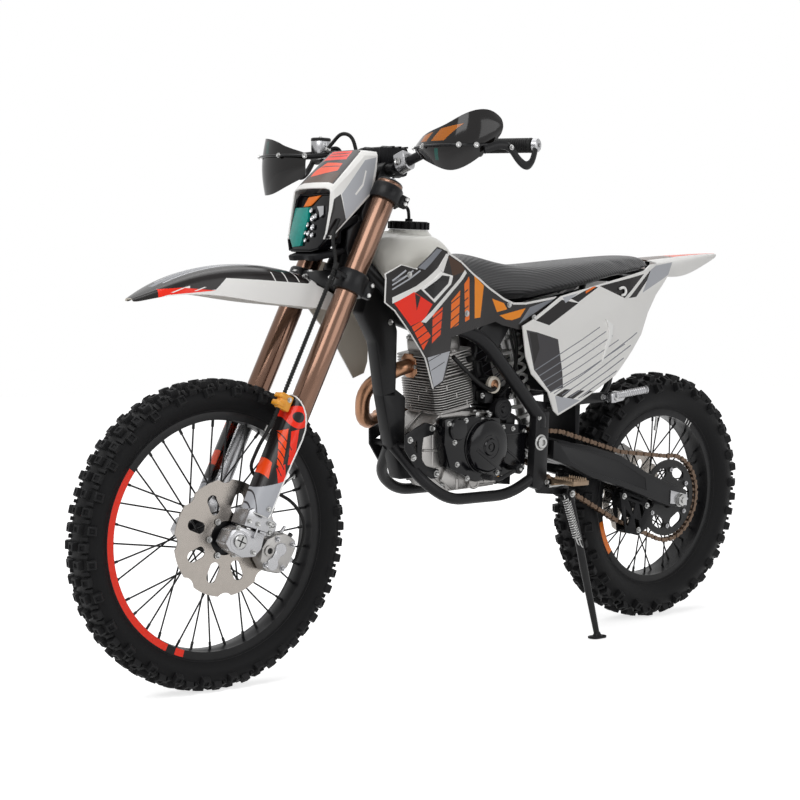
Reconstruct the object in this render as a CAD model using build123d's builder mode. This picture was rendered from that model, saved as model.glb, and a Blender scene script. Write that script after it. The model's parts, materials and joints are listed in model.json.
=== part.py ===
# Off-road motorcycle with a single-cylinder air-cooled engine, parked on its side stand.
# Millimetres. The bike is modelled upright: +X forward, +Y to the rider's left, +Z up,
# with the floor at Z = 0 and X = 0 midway between the axles. The last section turns the
# steering a little, leans the bike onto its stand and sets the origin under its middle.

import os
from math import cos, pi, radians, sin

from build123d import *

os.makedirs("parts", exist_ok=True)

# ---------------------------------------------------------------- driving dimensions
wheelbase = 1480
rake = 25.5
trail = 110
steer_x = wheelbase / 2 + trail   # where the steering axis meets the floor
lean_angle = 4
steer_rest = -4
gap = 0.3                     # between pieces that seat on each other
running = 0.08                # radial clearance of a shaft in its hole

front_tyre_radius = 348
front_tyre_width = 88
front_rim_hole = 257
front_knob_rows = 32
rear_tyre_radius = 338
rear_tyre_width = 112
rear_rim_hole = 219
rear_knob_rows = 28
knob_depth = 9
groove_share = 0.4            # of the tread's length that is grooves
rim_wall = 6
rim_flange = 14
front_rim_width = 52
rear_rim_width = 66
spoke_count = 36
spoke_radius = 2

leg_spacing = 192
axle_lead = 32
tube_radius = 27
stanchion_radius = 24
tube_foot = 656
tube_top = 1262
lower_clamp = 978
lower_clamp_depth = 48
upper_clamp = 1210
upper_clamp_depth = 36
stem_radius = 15
head_tube_radius = 29
axle_radius = 10

bar_radius = 11.1
bar_end = (steer_x - 674, 405, 1224)
bar_rise = (steer_x - 578, 190, 1224)
bar_foot = (steer_x - 550, 78, 1176)

pivot = (-180, 523)
pivot_bolt_radius = 8.5
upright_inner = 92
upright_outer = 118
spar_radius = 17
cradle_radius = 14

chain_y = 72
chain_width = 15
chain_height = 13
rear_sprocket_radius = 116
front_sprocket_radius = 33
front_sprocket_at = (-120, 525)

disc_radius = 130
disc_y = 58
disc_thickness = 3.5
rear_disc_radius = 118

engine_half = 62
cover_outer = 118

panel_wall = 4
stand_pivot = (-286, 111, 388)
stand_foot = (-371, 170)

# ---------------------------------------------------------------- planes and helpers
front_axle = Vector(wheelbase / 2, 0, front_tyre_radius)
rear_axle = Vector(-wheelbase / 2, 0, rear_tyre_radius)
tilt = radians(rake)
steer = Plane(origin=(steer_x, 0, 0),
              x_dir=(cos(tilt), 0, sin(tilt)), z_dir=(-sin(tilt), 0, cos(tilt)))
axle_v = front_tyre_radius * sin(tilt) - trail * cos(tilt)
axle_u = front_tyre_radius * cos(tilt) + trail * sin(tilt)
leg_v = axle_v - axle_lead
leg_y = leg_spacing / 2


def side(y):
    """Side view seen from the left: local x is forward, local y is up."""
    return Plane(origin=(0, y, 0), x_dir=(1, 0, 0), z_dir=(0, -1, 0))


def steer_side(y):
    """Side view in the fork's own frame: local x is ahead of the axis, local y along it."""
    return Plane(origin=steer.origin + Vector(0, y, 0), x_dir=steer.x_dir, z_dir=(0, -1, 0))


def axle_side(axle, y):
    return Plane(origin=(axle.X, y, axle.Z), x_dir=(1, 0, 0), z_dir=(0, 1, 0))


def wheel_section(axle):
    """Half-plane through the axle: local x is across the wheel, local y is outwards."""
    return Plane(origin=axle, x_dir=(0, 1, 0), z_dir=(1, 0, 0))


def add_tube(points, bend, radius):
    """A round tube along straight runs joined by bends, added to the open part."""
    with BuildLine() as route:
        FilletPolyline(*points, radius=bend)
    with BuildSketch(Plane(origin=route.line @ 0, z_dir=route.line % 0)) as section:
        Circle(radius)
    sweep(sections=section.sketch, path=route.line)


def add_rod(start, end, radius, mode=Mode.ADD):
    start, end = Vector(*start), Vector(*end)
    with BuildSketch(Plane(origin=start, z_dir=end - start)) as section:
        Circle(radius)
    extrude(section.sketch, amount=(end - start).length, mode=mode)


def add_plate(plane, points, thickness, mode=Mode.ADD, corner=0):
    with BuildSketch(plane) as outline:
        with BuildLine():
            Polyline(*points, close=True)
        make_face()
        if corner:
            fillet(outline.vertices(), corner)
    extrude(outline.sketch, amount=thickness, mode=mode)


def add_arch(stations, mode=Mode.ADD):
    """Loft through upright sections; each station is its x and its (y, z) outline."""
    sections = []
    for x, points in stations:
        with BuildSketch(Plane.YZ.offset(x)) as section:
            with BuildLine():
                Polyline(*points, close=True)
            make_face()
        sections.append(section.sketch)
    loft(sections=sections, ruled=True, mode=mode)


def mirrored(points):
    return points + [(-y, z) for y, z in reversed(points)]


# ---------------------------------------------------------------- wheels
def tyre(axle, radius, width, rim_hole, rim_width, knob_rows):
    seat_radius = rim_hole + rim_wall + gap
    flange = rim_hole + rim_wall + rim_flange
    depth = radius - flange
    half = [(rim_width / 2 - rim_wall / 2 - gap, seat_radius),
            (rim_width / 2 - rim_wall / 2 - gap, flange),
            (width * 0.42, flange + depth * 0.12), (width / 2, flange + depth * 0.45),
            (width * 0.47, flange + depth * 0.78), (width * 0.24, radius - 2)]
    with BuildPart() as carcass:
        with BuildSketch(wheel_section(axle)):
            with BuildLine():
                Polyline(*half, (0, radius), *[(-y, r) for y, r in reversed(half)], close=True)
            make_face()
        revolve(axis=Axis(axle, (0, 1, 0)))
        groove = 2 * pi * radius / knob_rows * groove_share
        with BuildSketch(axle_side(axle, -width)):
            with PolarLocations(radius, knob_rows, start_angle=180 / knob_rows):
                Rectangle(knob_depth * 2, groove)
        extrude(amount=width * 2, mode=Mode.SUBTRACT)
    return carcass


def rim(axle, hole, width):
    seat = hole + rim_wall
    flange = seat + rim_flange
    lip = rim_wall / 2
    with BuildPart() as ring:
        with BuildSketch(wheel_section(axle)):
            with BuildLine():
                Polyline((width / 2, seat - lip), (width / 2, flange), (width / 2 - lip, flange),
                         (width / 2 - lip, seat), (lip - width / 2, seat), (lip - width / 2, flange),
                         (-width / 2, flange), (-width / 2, seat - lip), (-width / 4, hole),
                         (width / 4, hole), close=True)
            make_face()
        revolve(axis=Axis(axle, (0, 1, 0)))
    return ring


def hub(axle, profile, flange_y, flange_radius, hole):
    """Turned hub with its crossed spokes; profile is half the section as (y, radius)."""
    with BuildPart() as wheel_hub:
        with BuildSketch(wheel_section(axle)):
            with BuildLine():
                Polyline(*profile, (profile[-1][0], axle_radius + running),
                         (profile[0][0], axle_radius + running), close=True)
            make_face()
        revolve(axis=Axis(axle, (0, 1, 0)))
        lacing = []
        for i in range(spoke_count):
            y = flange_y[i % 2]
            cross = 68 if (i // 2) % 2 else -68
            rim_angle = radians(360 / spoke_count * i)
            hub_angle = rim_angle + radians(cross)
            inner = axle + Vector(flange_radius * cos(hub_angle), y, flange_radius * sin(hub_angle))
            reach = hole - gap - spoke_radius * 0.2
            outer = axle + Vector(reach * cos(rim_angle), y * 0.12, reach * sin(rim_angle))
            with BuildSketch(Plane(origin=inner, z_dir=outer - inner)) as rod:
                RegularPolygon(spoke_radius, 6)
            lacing.append((rod.sketch, (outer - inner).length))
        for section, length in lacing:
            extrude(section, amount=length)
    return wheel_hub


def disc(axle, y, radius, hole, bolt_circle, lobes):
    with BuildPart() as ring:
        with BuildSketch(axle_side(axle, y)):
            Circle(radius)
            with PolarLocations(radius + 17, lobes):
                Circle(25, mode=Mode.SUBTRACT)
            Circle(hole, mode=Mode.SUBTRACT)
            with PolarLocations(radius * 0.62, lobes, start_angle=180 / lobes):
                SlotOverall(radius * 0.36, radius * 0.2, rotation=0, mode=Mode.SUBTRACT)
            with PolarLocations(bolt_circle, 6):
                Circle(3, mode=Mode.SUBTRACT)
        extrude(amount=disc_thickness)
    return ring


front_tyre = tyre(front_axle, front_tyre_radius, front_tyre_width, front_rim_hole, front_rim_width,
                  front_knob_rows)
rear_tyre = tyre(rear_axle, rear_tyre_radius, rear_tyre_width, rear_rim_hole, rear_rim_width,
                 rear_knob_rows)
front_rim = rim(front_axle, front_rim_hole, front_rim_width)
rear_rim = rim(rear_axle, rear_rim_hole, rear_rim_width)
front_hub = hub(front_axle, [(-66, 20), (-40, 22), (-38, 38), (-32, 38), (-26, 24), (26, 24), (32, 38),
                             (38, 38), (42, 30), (50, 48), (disc_y, 48)], (-35, 35), 37, front_rim_hole)
rear_hub = hub(rear_axle, [(-disc_y - 1, 44), (-52, 44), (-46, 32), (-42, 44), (-36, 44), (-28, 30),
                           (28, 30), (36, 46), (42, 46), (48, 40), (chain_y - 5, 40)],
               (-39, 39), 43, rear_rim_hole)
front_disc = disc(front_axle, disc_y, disc_radius, 38, 43, 8)
rear_disc = disc(rear_axle, -disc_y - 1 - disc_thickness, rear_disc_radius, 32, 38, 8)

with BuildPart() as rear_sprocket:
    with BuildSketch(axle_side(rear_axle, chain_y - 3.5 - 1)):
        Circle(rear_sprocket_radius - chain_height / 2 - 5)
        Circle(28, mode=Mode.SUBTRACT)
        with PolarLocations(rear_sprocket_radius * 0.63, 6):
            SlotOverall(52, 30, rotation=90, mode=Mode.SUBTRACT)
    extrude(amount=7)

# ---------------------------------------------------------------- steering group
with BuildPart() as fork_tubes:
    with BuildSketch(steer.offset(tube_foot)):
        with Locations((leg_v, leg_y), (leg_v, -leg_y)):
            Circle(tube_radius)
    extrude(amount=tube_top - tube_foot)

lug_inner = 74
lug_outer = 118
guard_radius = 40
guard_wall = 3
guard_foot = axle_u + 100 + gap
guard_top = 705
with BuildPart() as fork_lowers:
    with BuildSketch(steer.offset(axle_u - 20)):
        with Locations((leg_v, leg_y), (leg_v, -leg_y)):
            Circle(stanchion_radius)
    extrude(amount=tube_foot - gap - axle_u + 20)
    for y in (lug_outer, -lug_inner):
        with BuildSketch(steer_side(y)):
            with BuildLine():
                Polyline((leg_v - 30, axle_u + 100), (leg_v + 30, axle_u + 100),
                         (leg_v + 30, axle_u + 50), (axle_v + 24, axle_u + 24), (axle_v + 24, axle_u - 20),
                         (axle_v - 20, axle_u - 30), (leg_v - 24, axle_u - 10), close=True)
            make_face()
        extrude(amount=lug_outer - lug_inner)
    with BuildSketch(steer.offset(axle_u + 92)):
        with Locations((leg_v, leg_y), (leg_v, -leg_y)):
            Circle(guard_radius)
        Rectangle(200, lug_inner * 2, mode=Mode.SUBTRACT)
    extrude(amount=8)
    add_rod((front_axle.X, lug_outer + 4, front_axle.Z), (front_axle.X, -lug_outer - 4, front_axle.Z),
            axle_radius + gap, mode=Mode.SUBTRACT)

with BuildPart() as front_axle_shaft:
    add_rod((front_axle.X, -lug_outer - 1, front_axle.Z), (front_axle.X, lug_outer + 1, front_axle.Z),
            axle_radius)
    with BuildSketch(axle_side(front_axle, lug_outer + gap)):
        RegularPolygon(14, 6)
    extrude(amount=8)
    with BuildSketch(axle_side(front_axle, -lug_outer - gap - 8)):
        RegularPolygon(14, 6)
    extrude(amount=8)
    add_rod((front_axle.X, -lug_outer - 12, front_axle.Z), (front_axle.X, lug_outer + 12, front_axle.Z),
            6, mode=Mode.SUBTRACT)

hose_v = 84
hose_y = 113
hose_radius = 4
with BuildPart() as fork_guards:
    with BuildSketch(steer.offset(guard_foot)):
        with Locations((leg_v, leg_y)):
            Circle(guard_radius)
            Circle(guard_radius - guard_wall, mode=Mode.SUBTRACT)
            with Locations((-guard_radius, 0)):
                Rectangle(guard_radius * 2, guard_radius * 3, mode=Mode.SUBTRACT)
            with Locations((-19, guard_radius - guard_wall / 2)):
                Rectangle(38, guard_wall)
            with Locations((0, -guard_radius)):
                Rectangle(90, 40, mode=Mode.SUBTRACT)
    extrude(amount=guard_top - guard_foot)
    add_plate(steer_side(leg_y + 60), [(-80, 430), (-80, 760), (40, 760), (leg_v - 12, 700), (-20, 620),
                                       (-20, 520), (leg_v, 430)], 120, mode=Mode.SUBTRACT)
    mirror(about=Plane.XZ)
    add_plate(steer_side(hose_y + 5), [(leg_v + 34, 668), (hose_v - hose_radius - gap, 668),
                                       (hose_v - hose_radius - gap, 690), (leg_v + 34, 690)], 10)

clamp_boss = 36
with BuildPart() as triple_clamps:
    for level, depth in ((lower_clamp, lower_clamp_depth), (upper_clamp, upper_clamp_depth)):
        with BuildSketch(steer.offset(level)):
            with Locations((leg_v, leg_y), (leg_v, -leg_y)):
                Circle(clamp_boss)
            with BuildLine():
                Polyline((leg_v + 26, leg_y), (leg_v + 26, -leg_y), (leg_v - 26, -leg_y),
                         (-36, -24), (-36, 24), (leg_v - 26, leg_y), close=True)
            make_face()
            with Locations((leg_v, leg_y), (leg_v, -leg_y)):
                Circle(tube_radius + gap, mode=Mode.SUBTRACT)
        extrude(amount=depth)
    with BuildSketch(steer.offset(lower_clamp)):
        Circle(stem_radius)
    extrude(amount=upper_clamp + upper_clamp_depth + 14 - lower_clamp)
    for y in (55, -25):
        add_plate(steer_side(y),
                  [(-20, upper_clamp + 1), (32, upper_clamp + 1), (32, 1322), (-12, 1322)], 30)
    add_rod((bar_foot[0], 90, bar_foot[2]), (bar_foot[0], -90, bar_foot[2]), 14.3 + gap, mode=Mode.SUBTRACT)
    add_rod(steer.from_local_coords((leg_v + 27, hose_y, lower_clamp + 24)),
            steer.from_local_coords((hose_v - hose_radius - gap, hose_y, lower_clamp + 24)), 5)

bar_path = [(bar_end[0], bar_end[1], bar_end[2]), bar_rise, bar_foot,
            (bar_foot[0], -bar_foot[1], bar_foot[2]), (bar_rise[0], -bar_rise[1], bar_rise[2]),
            (bar_end[0], -bar_end[1], bar_end[2])]
with BuildPart() as handlebar:
    add_tube(bar_path, 60, bar_radius)
    add_rod((bar_foot[0], 62, bar_foot[2]), (bar_foot[0], -62, bar_foot[2]), 14.3)

with BuildPart() as bar_pad:
    with BuildSketch(side(62)):
        with Locations((bar_foot[0] - 22, bar_foot[2] + 10)):
            RectangleRounded(66, 86, 12)
    extrude(amount=124)
    add_rod((bar_foot[0], -150, bar_foot[2]), (bar_foot[0], 150, bar_foot[2]), 14.3 + gap,
            mode=Mode.SUBTRACT)
    for y in (55, -25):
        add_plate(steer_side(y + gap), [(-21, 1240), (33, 1240), (33, 1322 + gap), (-13, 1322 + gap)],
                  30 + gap * 2, mode=Mode.SUBTRACT)

grip_start = 0.46
with BuildPart() as grips:
    end, rise = Vector(*bar_end), Vector(*bar_rise)
    along = (end - rise).normalized()
    start = rise + (end - rise) * grip_start
    add_rod(start, end + along * 4, 16.5)
    add_rod(start, start + along * 4, 24)
    add_rod(start - along * 5, end + along, bar_radius + gap, mode=Mode.SUBTRACT)
    mirror(about=Plane.XZ)

with BuildPart() as clutch_lever:
    base = rise + (end - rise) * 0.22
    add_rod(base - along * 16, base + along * 16, bar_radius + 8)
    add_rod(base, base + Vector(48, 6, -4), 10)
    add_tube([base + Vector(44, 0, -4), base + Vector(52, 60, -6), base + Vector(28, 146, -8)], 40, 6)
    add_rod(base - along * 30, base + along * 30, bar_radius + gap, mode=Mode.SUBTRACT)

with BuildPart() as brake_master:
    across = Vector(along.X, -along.Y, along.Z)
    base = Vector(base.X, -base.Y, base.Z)
    add_rod(base - across * 16, base + across * 16, bar_radius + 8)
    add_rod(base, base + Vector(48, -6, -4), 10)
    add_tube([base + Vector(44, 0, -4), base + Vector(52, -60, -6), base + Vector(28, -146, -8)], 40, 6)
    add_rod(base + Vector(46, 16, -2), base + Vector(46, 16, 30), 24)
    add_rod(base - across * 30, base + across * 30, bar_radius + gap, mode=Mode.SUBTRACT)

with BuildPart() as handguards:
    add_rod(end + along * (4 + gap), end + along * 16, 13)
    add_plate(Plane.XY.offset(bar_end[2] - 5),
              [(steer_x - 677, 411.5), (steer_x - 649.5, 423.6), (steer_x - 588, 409),
               (steer_x - 554, 402), (steer_x - 552, 407), (steer_x - 582, 420),
               (steer_x - 651, 434), (steer_x - 681, 420.6)], 10)
    with BuildSketch(Plane.XY.offset(1165)):
        with BuildLine():
            Spline((steer_x - 512, 218), (steer_x - 478, 290), (steer_x - 488, 372), (steer_x - 550, 408),
                   (steer_x - 582, 412))
            Line((steer_x - 582, 412), (steer_x - 582, 408))
            Spline((steer_x - 582, 408), (steer_x - 552, 404), (steer_x - 492, 369), (steer_x - 482, 290),
                   (steer_x - 516, 221))
            Line((steer_x - 516, 221), (steer_x - 512, 218))
        make_face()
    extrude(amount=132)
    add_plate(Plane(origin=(steer_x, 500, 0), x_dir=(-1, 0, 0), z_dir=(0, -1, 0)),
              [(600, 1150), (600, 1240), (550, 1240), (430, 1190), (430, 1150)], 400,
              mode=Mode.SUBTRACT)
    mirror(about=Plane.XZ)

mask_half = 78
with BuildPart() as headlight_mask:
    with BuildSketch(side(mask_half)):
        with BuildLine():
            Polyline((steer_x - 498, 1213), (steer_x - 438, 1216), (steer_x - 382, 1124),
                     (steer_x - 350, 1006), (steer_x - 373, 1006), (steer_x - 417, 1048),
                     (steer_x - 478, 1121), close=True)
        make_face()
    extrude(amount=mask_half * 2)
    with BuildSketch(side(mask_half - panel_wall)):
        with BuildLine():
            Polyline((steer_x - 550, 1212 - panel_wall), (steer_x - 441, 1212 - panel_wall),
                     (steer_x - 387, 1122), (steer_x - 355, 1000), (steer_x - 380, 990),
                     (steer_x - 550, 990), close=True)
        make_face()
    extrude(amount=mask_half * 2 - panel_wall * 2, mode=Mode.SUBTRACT)
    add_plate(side(56), [(steer_x - 430, 990), (steer_x - 420, 1112), (steer_x - 330, 1112),
                         (steer_x - 310, 990)], 112, mode=Mode.SUBTRACT)

with BuildPart() as headlight:
    light_half = 56 - gap
    add_plate(side(light_half),
              [(steer_x - 420, 992), (steer_x - 420, 1108), (steer_x - 372, 1108),
               (steer_x - 358, 1050), (steer_x - 338, 990), (steer_x - 380, 978)], light_half * 2)
    for y in (66, -56):
        add_plate(steer_side(y),
                  [(leg_v + 26 + gap, 1244), (leg_v + 26 + gap, 1206), (62, 1196), (66, 1120),
                   (92, 1092), (92, 1150), (76, 1236)], 10)

with BuildPart() as front_fender:
    top = [(-420, 882.8, 60, 850), (-372, 905.7, 62, 851), (-350, 926, 64, 852), (-233, 950, 72, 864),
           (-132, 950, 76, 884), (-59, 937, 74, 884), (33, 902, 56, 878), (98, 876, 10, 870)]
    for inset in (0, 3):
        stations = []
        for ahead, crown, half, skirt in top:
            if inset and half < 20:
                half = 12
            shoulder = skirt + (crown - skirt) * 0.8 - inset
            points = [(half - inset, skirt - inset * 3), (half * 0.94 - inset, shoulder),
                      (half * 0.5, crown - inset)]
            stations.append((steer_x + ahead, mirrored(points)))
        add_arch(stations, mode=Mode.SUBTRACT if inset else Mode.ADD)

disc_clear = 5
with BuildPart() as front_caliper:
    add_plate(steer_side(108),
              [(-42, 330), (-96, 330), (-108, 348), (-108, 400), (-96, 418), (-42, 412)], 66, corner=7)
    add_plate(steer_side(90),
              [(-44, 380), (-44, 412), (leg_v - 30 - gap, 440), (leg_v - 30 - gap, 400)], 14)
    for u in (352, 394):
        add_rod(steer.from_local_coords((-78, 106, u)), steer.from_local_coords((-78, 118, u)), 17)
    with BuildSketch(axle_side(front_axle, disc_y - disc_clear)):
        Circle(disc_radius + disc_clear)
    extrude(amount=disc_thickness + disc_clear * 2, mode=Mode.SUBTRACT)

hose_route = [(104, 84, 1120), (112, 96, 1070), (hose_v, hose_y, 1020), (hose_v, hose_y, 620),
              (88, 104, 575), (64, 65, 520), (-10, 64, 502), (-66, 88, 497), (-112, 92, 466),
              (-126, 92, 425), (-126, 92, 376), (-108 - gap, 92, 376)]
with BuildPart() as front_brake_hose:
    add_tube([steer.from_local_coords(point) for point in hose_route], 12, hose_radius)

# ---------------------------------------------------------------- frame
head_foot = lower_clamp + lower_clamp_depth + 1
head_top = upper_clamp - 1
with BuildPart() as main_frame:
    with BuildSketch(steer.offset(head_foot)):
        Circle(head_tube_radius)
    extrude(amount=head_top - head_foot)
    add_plate(side(20), [(steer_x - 455, 945), (steer_x - 505, 1000), (steer_x - 550, 985), (225, 800),
                         (222, 640), (262, 640), (290, 770), (steer_x - 512, 842),
                         (steer_x - 532, 891), (steer_x - 472, 920)], 40)
    add_plate(side(20), [(264, 650), (222, 660), (190, 640), (188, 545), (150, 440), (200, 440),
                         (240, 560)], 40)
    for s in (1, -1):
        add_tube([(steer_x - 520, s * 14, 950), (steer_x - 614, s * 62, 846), (28, s * 102, 792),
                  (-186, s * 105, 585), (-186, s * 105, 560)], 40, spar_radius)
        add_tube([(215, s * 10, 520), (178, s * 80, 440), (105, s * 95, 394), (-100, s * 95, 394),
                  (-186, s * 105, 440)], 40, cradle_radius)
        y = upright_outer if s > 0 else -upright_inner
        add_plate(side(y), [(-162, 600), (-210, 600), (-210, 430), (-190, 400), (-160, 410)],
                  upright_outer - upright_inner)
        add_plate(side(s * 97 + 6), [(-180, 598), (-180, 624), (-210, 624), (-210, 598)], 12)
        add_plate(side(s * 90.3 + 5), [(34, 800), (-26, 738), (-84, 822), (-84, 852), (-40, 852)], 10)
        add_plate(side(s * 105 + 6), [(-170, 430), (-212, 430), (-300, 412), (-300, 380), (-190, 392)], 12)
        hanger_y = s * (engine_half + gap + 2.5)
        add_plate(side(hanger_y + 2.5),
                  [(230, 556), (152, 582), (137, 574), (137, 484), (118, 462), (122, 446),
                   (140, 446), (214, 490)], 5)
        add_plate(side(hanger_y + 4),
                  [(203, 540), (158, 558), (158, 494), (194, 508)], 8, mode=Mode.SUBTRACT)
    add_rod((208, -engine_half - gap - 5, 524), (208, engine_half + gap + 5, 524), 8)
    with BuildSketch(steer.offset(head_foot - 5)):
        Circle(stem_radius + running)
    extrude(amount=head_top - head_foot + 10, mode=Mode.SUBTRACT)
    add_rod((pivot[0], -upright_outer - 8, pivot[1]), (pivot[0], upright_outer + 8, pivot[1]),
            pivot_bolt_radius)
    add_rod((pivot[0], upright_outer, pivot[1]), (pivot[0], upright_outer + 8, pivot[1]), 15)

with BuildPart() as subframe:
    for s in (1, -1):
        add_tube([(-60, s * 74, 838), (-250, s * 74, 868), (-560, s * 70, 930), (-668, s * 62, 951)],
                 60, 11)
        add_tube([(-210.9, s * 97, 612), (-300, s * 97, 616), (-440, s * 97, 627), (-520, s * 74, 915)],
                 40, 9)
        add_rod((-655, s * 30, 949), (-655, s * 30, 981), 6)
    add_rod((-540, -72, 932.1), (-540, 72, 932.1), 10)
    add_rod((-70, -74, 859.4), (-70, 74, 859.4), 12)
    add_rod((-655, -62, 949), (-655, 62, 949), 10)
    add_rod((-150, -76, 853), (-150, 76, 853), 11)

# ---------------------------------------------------------------- swingarm and final drive
arm_outer = 112
arm_inner = 84
with BuildPart() as swingarm:
    for s in (1, -1):
        y = arm_outer if s > 0 else -arm_inner
        add_plate(side(y),
                  [(-236, 525), (-377, 503), (rear_axle.X + 246, 473), (rear_axle.X + 131, 419),
                   (rear_axle.X + 25, 380), (rear_axle.X - 35, 362), (rear_axle.X - 35, 312),
                   (rear_axle.X + 34, 320), (rear_axle.X + 239, 389), (-383, 420), (-306, 453),
                   (-236, 476)], arm_outer - arm_inner)
        y = arm_inner - gap if s > 0 else -60
        add_plate(side(y), [(-160, 540), (-236, 525), (-335, 502), (-335, 448), (-290, 462), (-236, 478),
                            (-160, 505)], arm_inner - gap - 60)
    add_rod((pivot[0], -upright_inner + 1, pivot[1]), (pivot[0], upright_inner - 1, pivot[1]), 21)
    add_plate(side(arm_inner - gap), [(-302, 508), (-335, 502), (-335, 448), (-302, 462)],
              (arm_inner - gap) * 2)
    for y in (20.5, -12.5):
        add_plate(side(y), [(-256, 490), (-304, 494), (-304, 464), (-256, 466)], 8)
    add_rod((pivot[0], -upright_outer, pivot[1]), (pivot[0], upright_outer, pivot[1]),
            pivot_bolt_radius + gap, mode=Mode.SUBTRACT)
    add_rod((rear_axle.X, -150, rear_axle.Z), (rear_axle.X, 150, rear_axle.Z), axle_radius + gap,
            mode=Mode.SUBTRACT)

with BuildPart() as rear_axle_shaft:
    add_rod((rear_axle.X, -arm_outer - 12, rear_axle.Z), (rear_axle.X, arm_outer + 12, rear_axle.Z),
            axle_radius)
    for y in (arm_outer + gap, -arm_outer - gap - 9):
        with BuildSketch(axle_side(rear_axle, y)):
            RegularPolygon(15, 6)
        extrude(amount=9)
    add_rod((rear_axle.X, -arm_outer - 13, rear_axle.Z), (rear_axle.X, arm_outer + 13, rear_axle.Z), 6,
            mode=Mode.SUBTRACT)

with BuildPart() as drive_chain:
    for offset_by, mode in ((chain_height / 2, Mode.ADD), (-chain_height / 2, Mode.SUBTRACT)):
        rear_r = rear_sprocket_radius + offset_by
        front_r = front_sprocket_radius + offset_by
        with BuildSketch(side(chain_y + chain_width / 2)) as loop:
            with BuildLine():
                top = [(-300, 540 + offset_by), (rear_axle.X + 210, 476 + offset_by)]
                low = [(rear_axle.X + 210, 292 - offset_by), (-300, 404 - offset_by)]
                a = (front_sprocket_at[0], front_sprocket_at[1] + front_r)
                d = (front_sprocket_at[0] - front_r * 0.36, front_sprocket_at[1] - front_r * 0.93)
                b = (rear_axle.X + rear_r * 0.12, rear_axle.Z + rear_r * 0.993)
                c = (rear_axle.X + rear_r * 0.3, rear_axle.Z - rear_r * 0.954)
                Polyline(a, top[0], top[1], b)
                ThreePointArc(b, (rear_axle.X - rear_r, rear_axle.Z), c)
                Polyline(c, low[0], low[1], d)
                ThreePointArc(d, (front_sprocket_at[0] + front_r, front_sprocket_at[1]), a)
            make_face()
        extrude(loop.sketch, amount=chain_width, mode=mode)

with BuildPart() as front_sprocket:
    with BuildSketch(side(chain_y + 3.5)):
        with Locations(front_sprocket_at):
            Circle(front_sprocket_radius - chain_height / 2 - gap)
            Circle(12, mode=Mode.SUBTRACT)
    extrude(amount=7)

with BuildPart() as chain_guide:
    for y in (chain_y + 18, chain_y - 10):
        add_plate(side(y), [(rear_axle.X + 213, 379.5), (rear_axle.X + 87, 337.4),
                            (rear_axle.X + 95, 246), (rear_axle.X + 175, 262)], 4, corner=6)
    add_plate(side(chain_y + 18), [(rear_axle.X + 205, 376), (rear_axle.X + 122, 348),
                                   (rear_axle.X + 124, 334), (rear_axle.X + 205, 358)], 32)

with BuildPart() as shock_absorber:
    foot, head = Vector(-268, 0, 478), Vector(-150, 0, 853)
    rod = (head - foot).normalized()
    add_rod(foot + rod * 40, head - rod * 70, 30)
    add_rod(foot, head - rod * (11 + gap), 9)
    add_rod((-268, -12, 478), (-268, 12, 478), 11)

# ---------------------------------------------------------------- engine
with BuildPart() as crankcase:
    with BuildSketch(side(engine_half)):
        with BuildLine():
            Polyline((118, 598), (40, 606), (-60, 600), (-135, 570), (-148, 470), (-120, 425),
                     (-60, 412), (80, 408), (140, 450), (168, 500), (165, 560), close=True)
        make_face()
        fillet(vertices(), 10)
    extrude(amount=engine_half * 2)
    add_rod((front_sprocket_at[0], engine_half - 1, front_sprocket_at[1]),
            (front_sprocket_at[0], chain_y + 9, front_sprocket_at[1]), 12 - gap)

cylinder_tilt = 10
barrel = Plane(origin=(62, 0, 608), x_dir=(cos(radians(cylinder_tilt)), 0, -sin(radians(cylinder_tilt))),
               z_dir=(sin(radians(cylinder_tilt)), 0, cos(radians(cylinder_tilt))))
fin_pitch = 8.8
fin_thickness = 3
port_centre = (63, -18, 117)
intake_seat = Vector(4, 0, 690)
intake_run = (intake_seat - Vector(-100, 0, 655)).normalized()
with BuildPart() as cylinder:
    with BuildSketch(barrel):
        RectangleRounded(92, 100, 16)
    extrude(amount=150)
    with BuildSketch(*[barrel.offset(fin_pitch * i) for i in range(10)]):
        RectangleRounded(118, 128, 16)
    extrude(amount=fin_thickness)
    with BuildSketch(*[barrel.offset(88 + fin_pitch * i) for i in range(7)]):
        RectangleRounded(126, 132, 16)
    extrude(amount=fin_thickness)
    with BuildSketch(barrel.offset(146)):
        RectangleRounded(96, 110, 20)
    extrude(amount=38)
    add_rod(barrel.from_local_coords((30, port_centre[1], port_centre[2])),
            barrel.from_local_coords(port_centre), 24)
    add_rod(intake_seat + intake_run * gap, intake_seat + intake_run * 36, 22)

with BuildPart() as engine_covers:
    with BuildSketch(side(cover_outer)):
        with Locations((-6, 520)):
            Circle(68)
    extrude(amount=cover_outer - engine_half - gap)
    with BuildSketch(side(100)):
        with BuildLine():
            Polyline((132, 592), (60, 596), (-58, 588), (-58, 440), (20, 432), (110, 470), (132, 530),
                     close=True)
        make_face()
    extrude(amount=100 - engine_half - gap)
    add_plate(side(92), [(-50, 575), (-155, 565), (-155, 452), (-50, 440)], 8)
    with BuildSketch(side(-engine_half - gap)):
        with BuildLine():
            Polyline((110, 560), (60, 590), (-60, 590), (-125, 545), (-125, 470), (-60, 425), (60, 425),
                     (110, 470), close=True)
        make_face()
    extrude(amount=40)
    with BuildSketch(side(-102)):
        with Locations((-40, 510)):
            Circle(72)
    extrude(amount=16)

with BuildPart() as carburettor:
    add_rod(intake_seat, intake_seat - intake_run * 110, 24)
    add_rod((-52, 0, 612), (-52, 0, 720), 30)
    add_rod((-52, 0, 668), (-52, 76, 668), 16)

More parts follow.
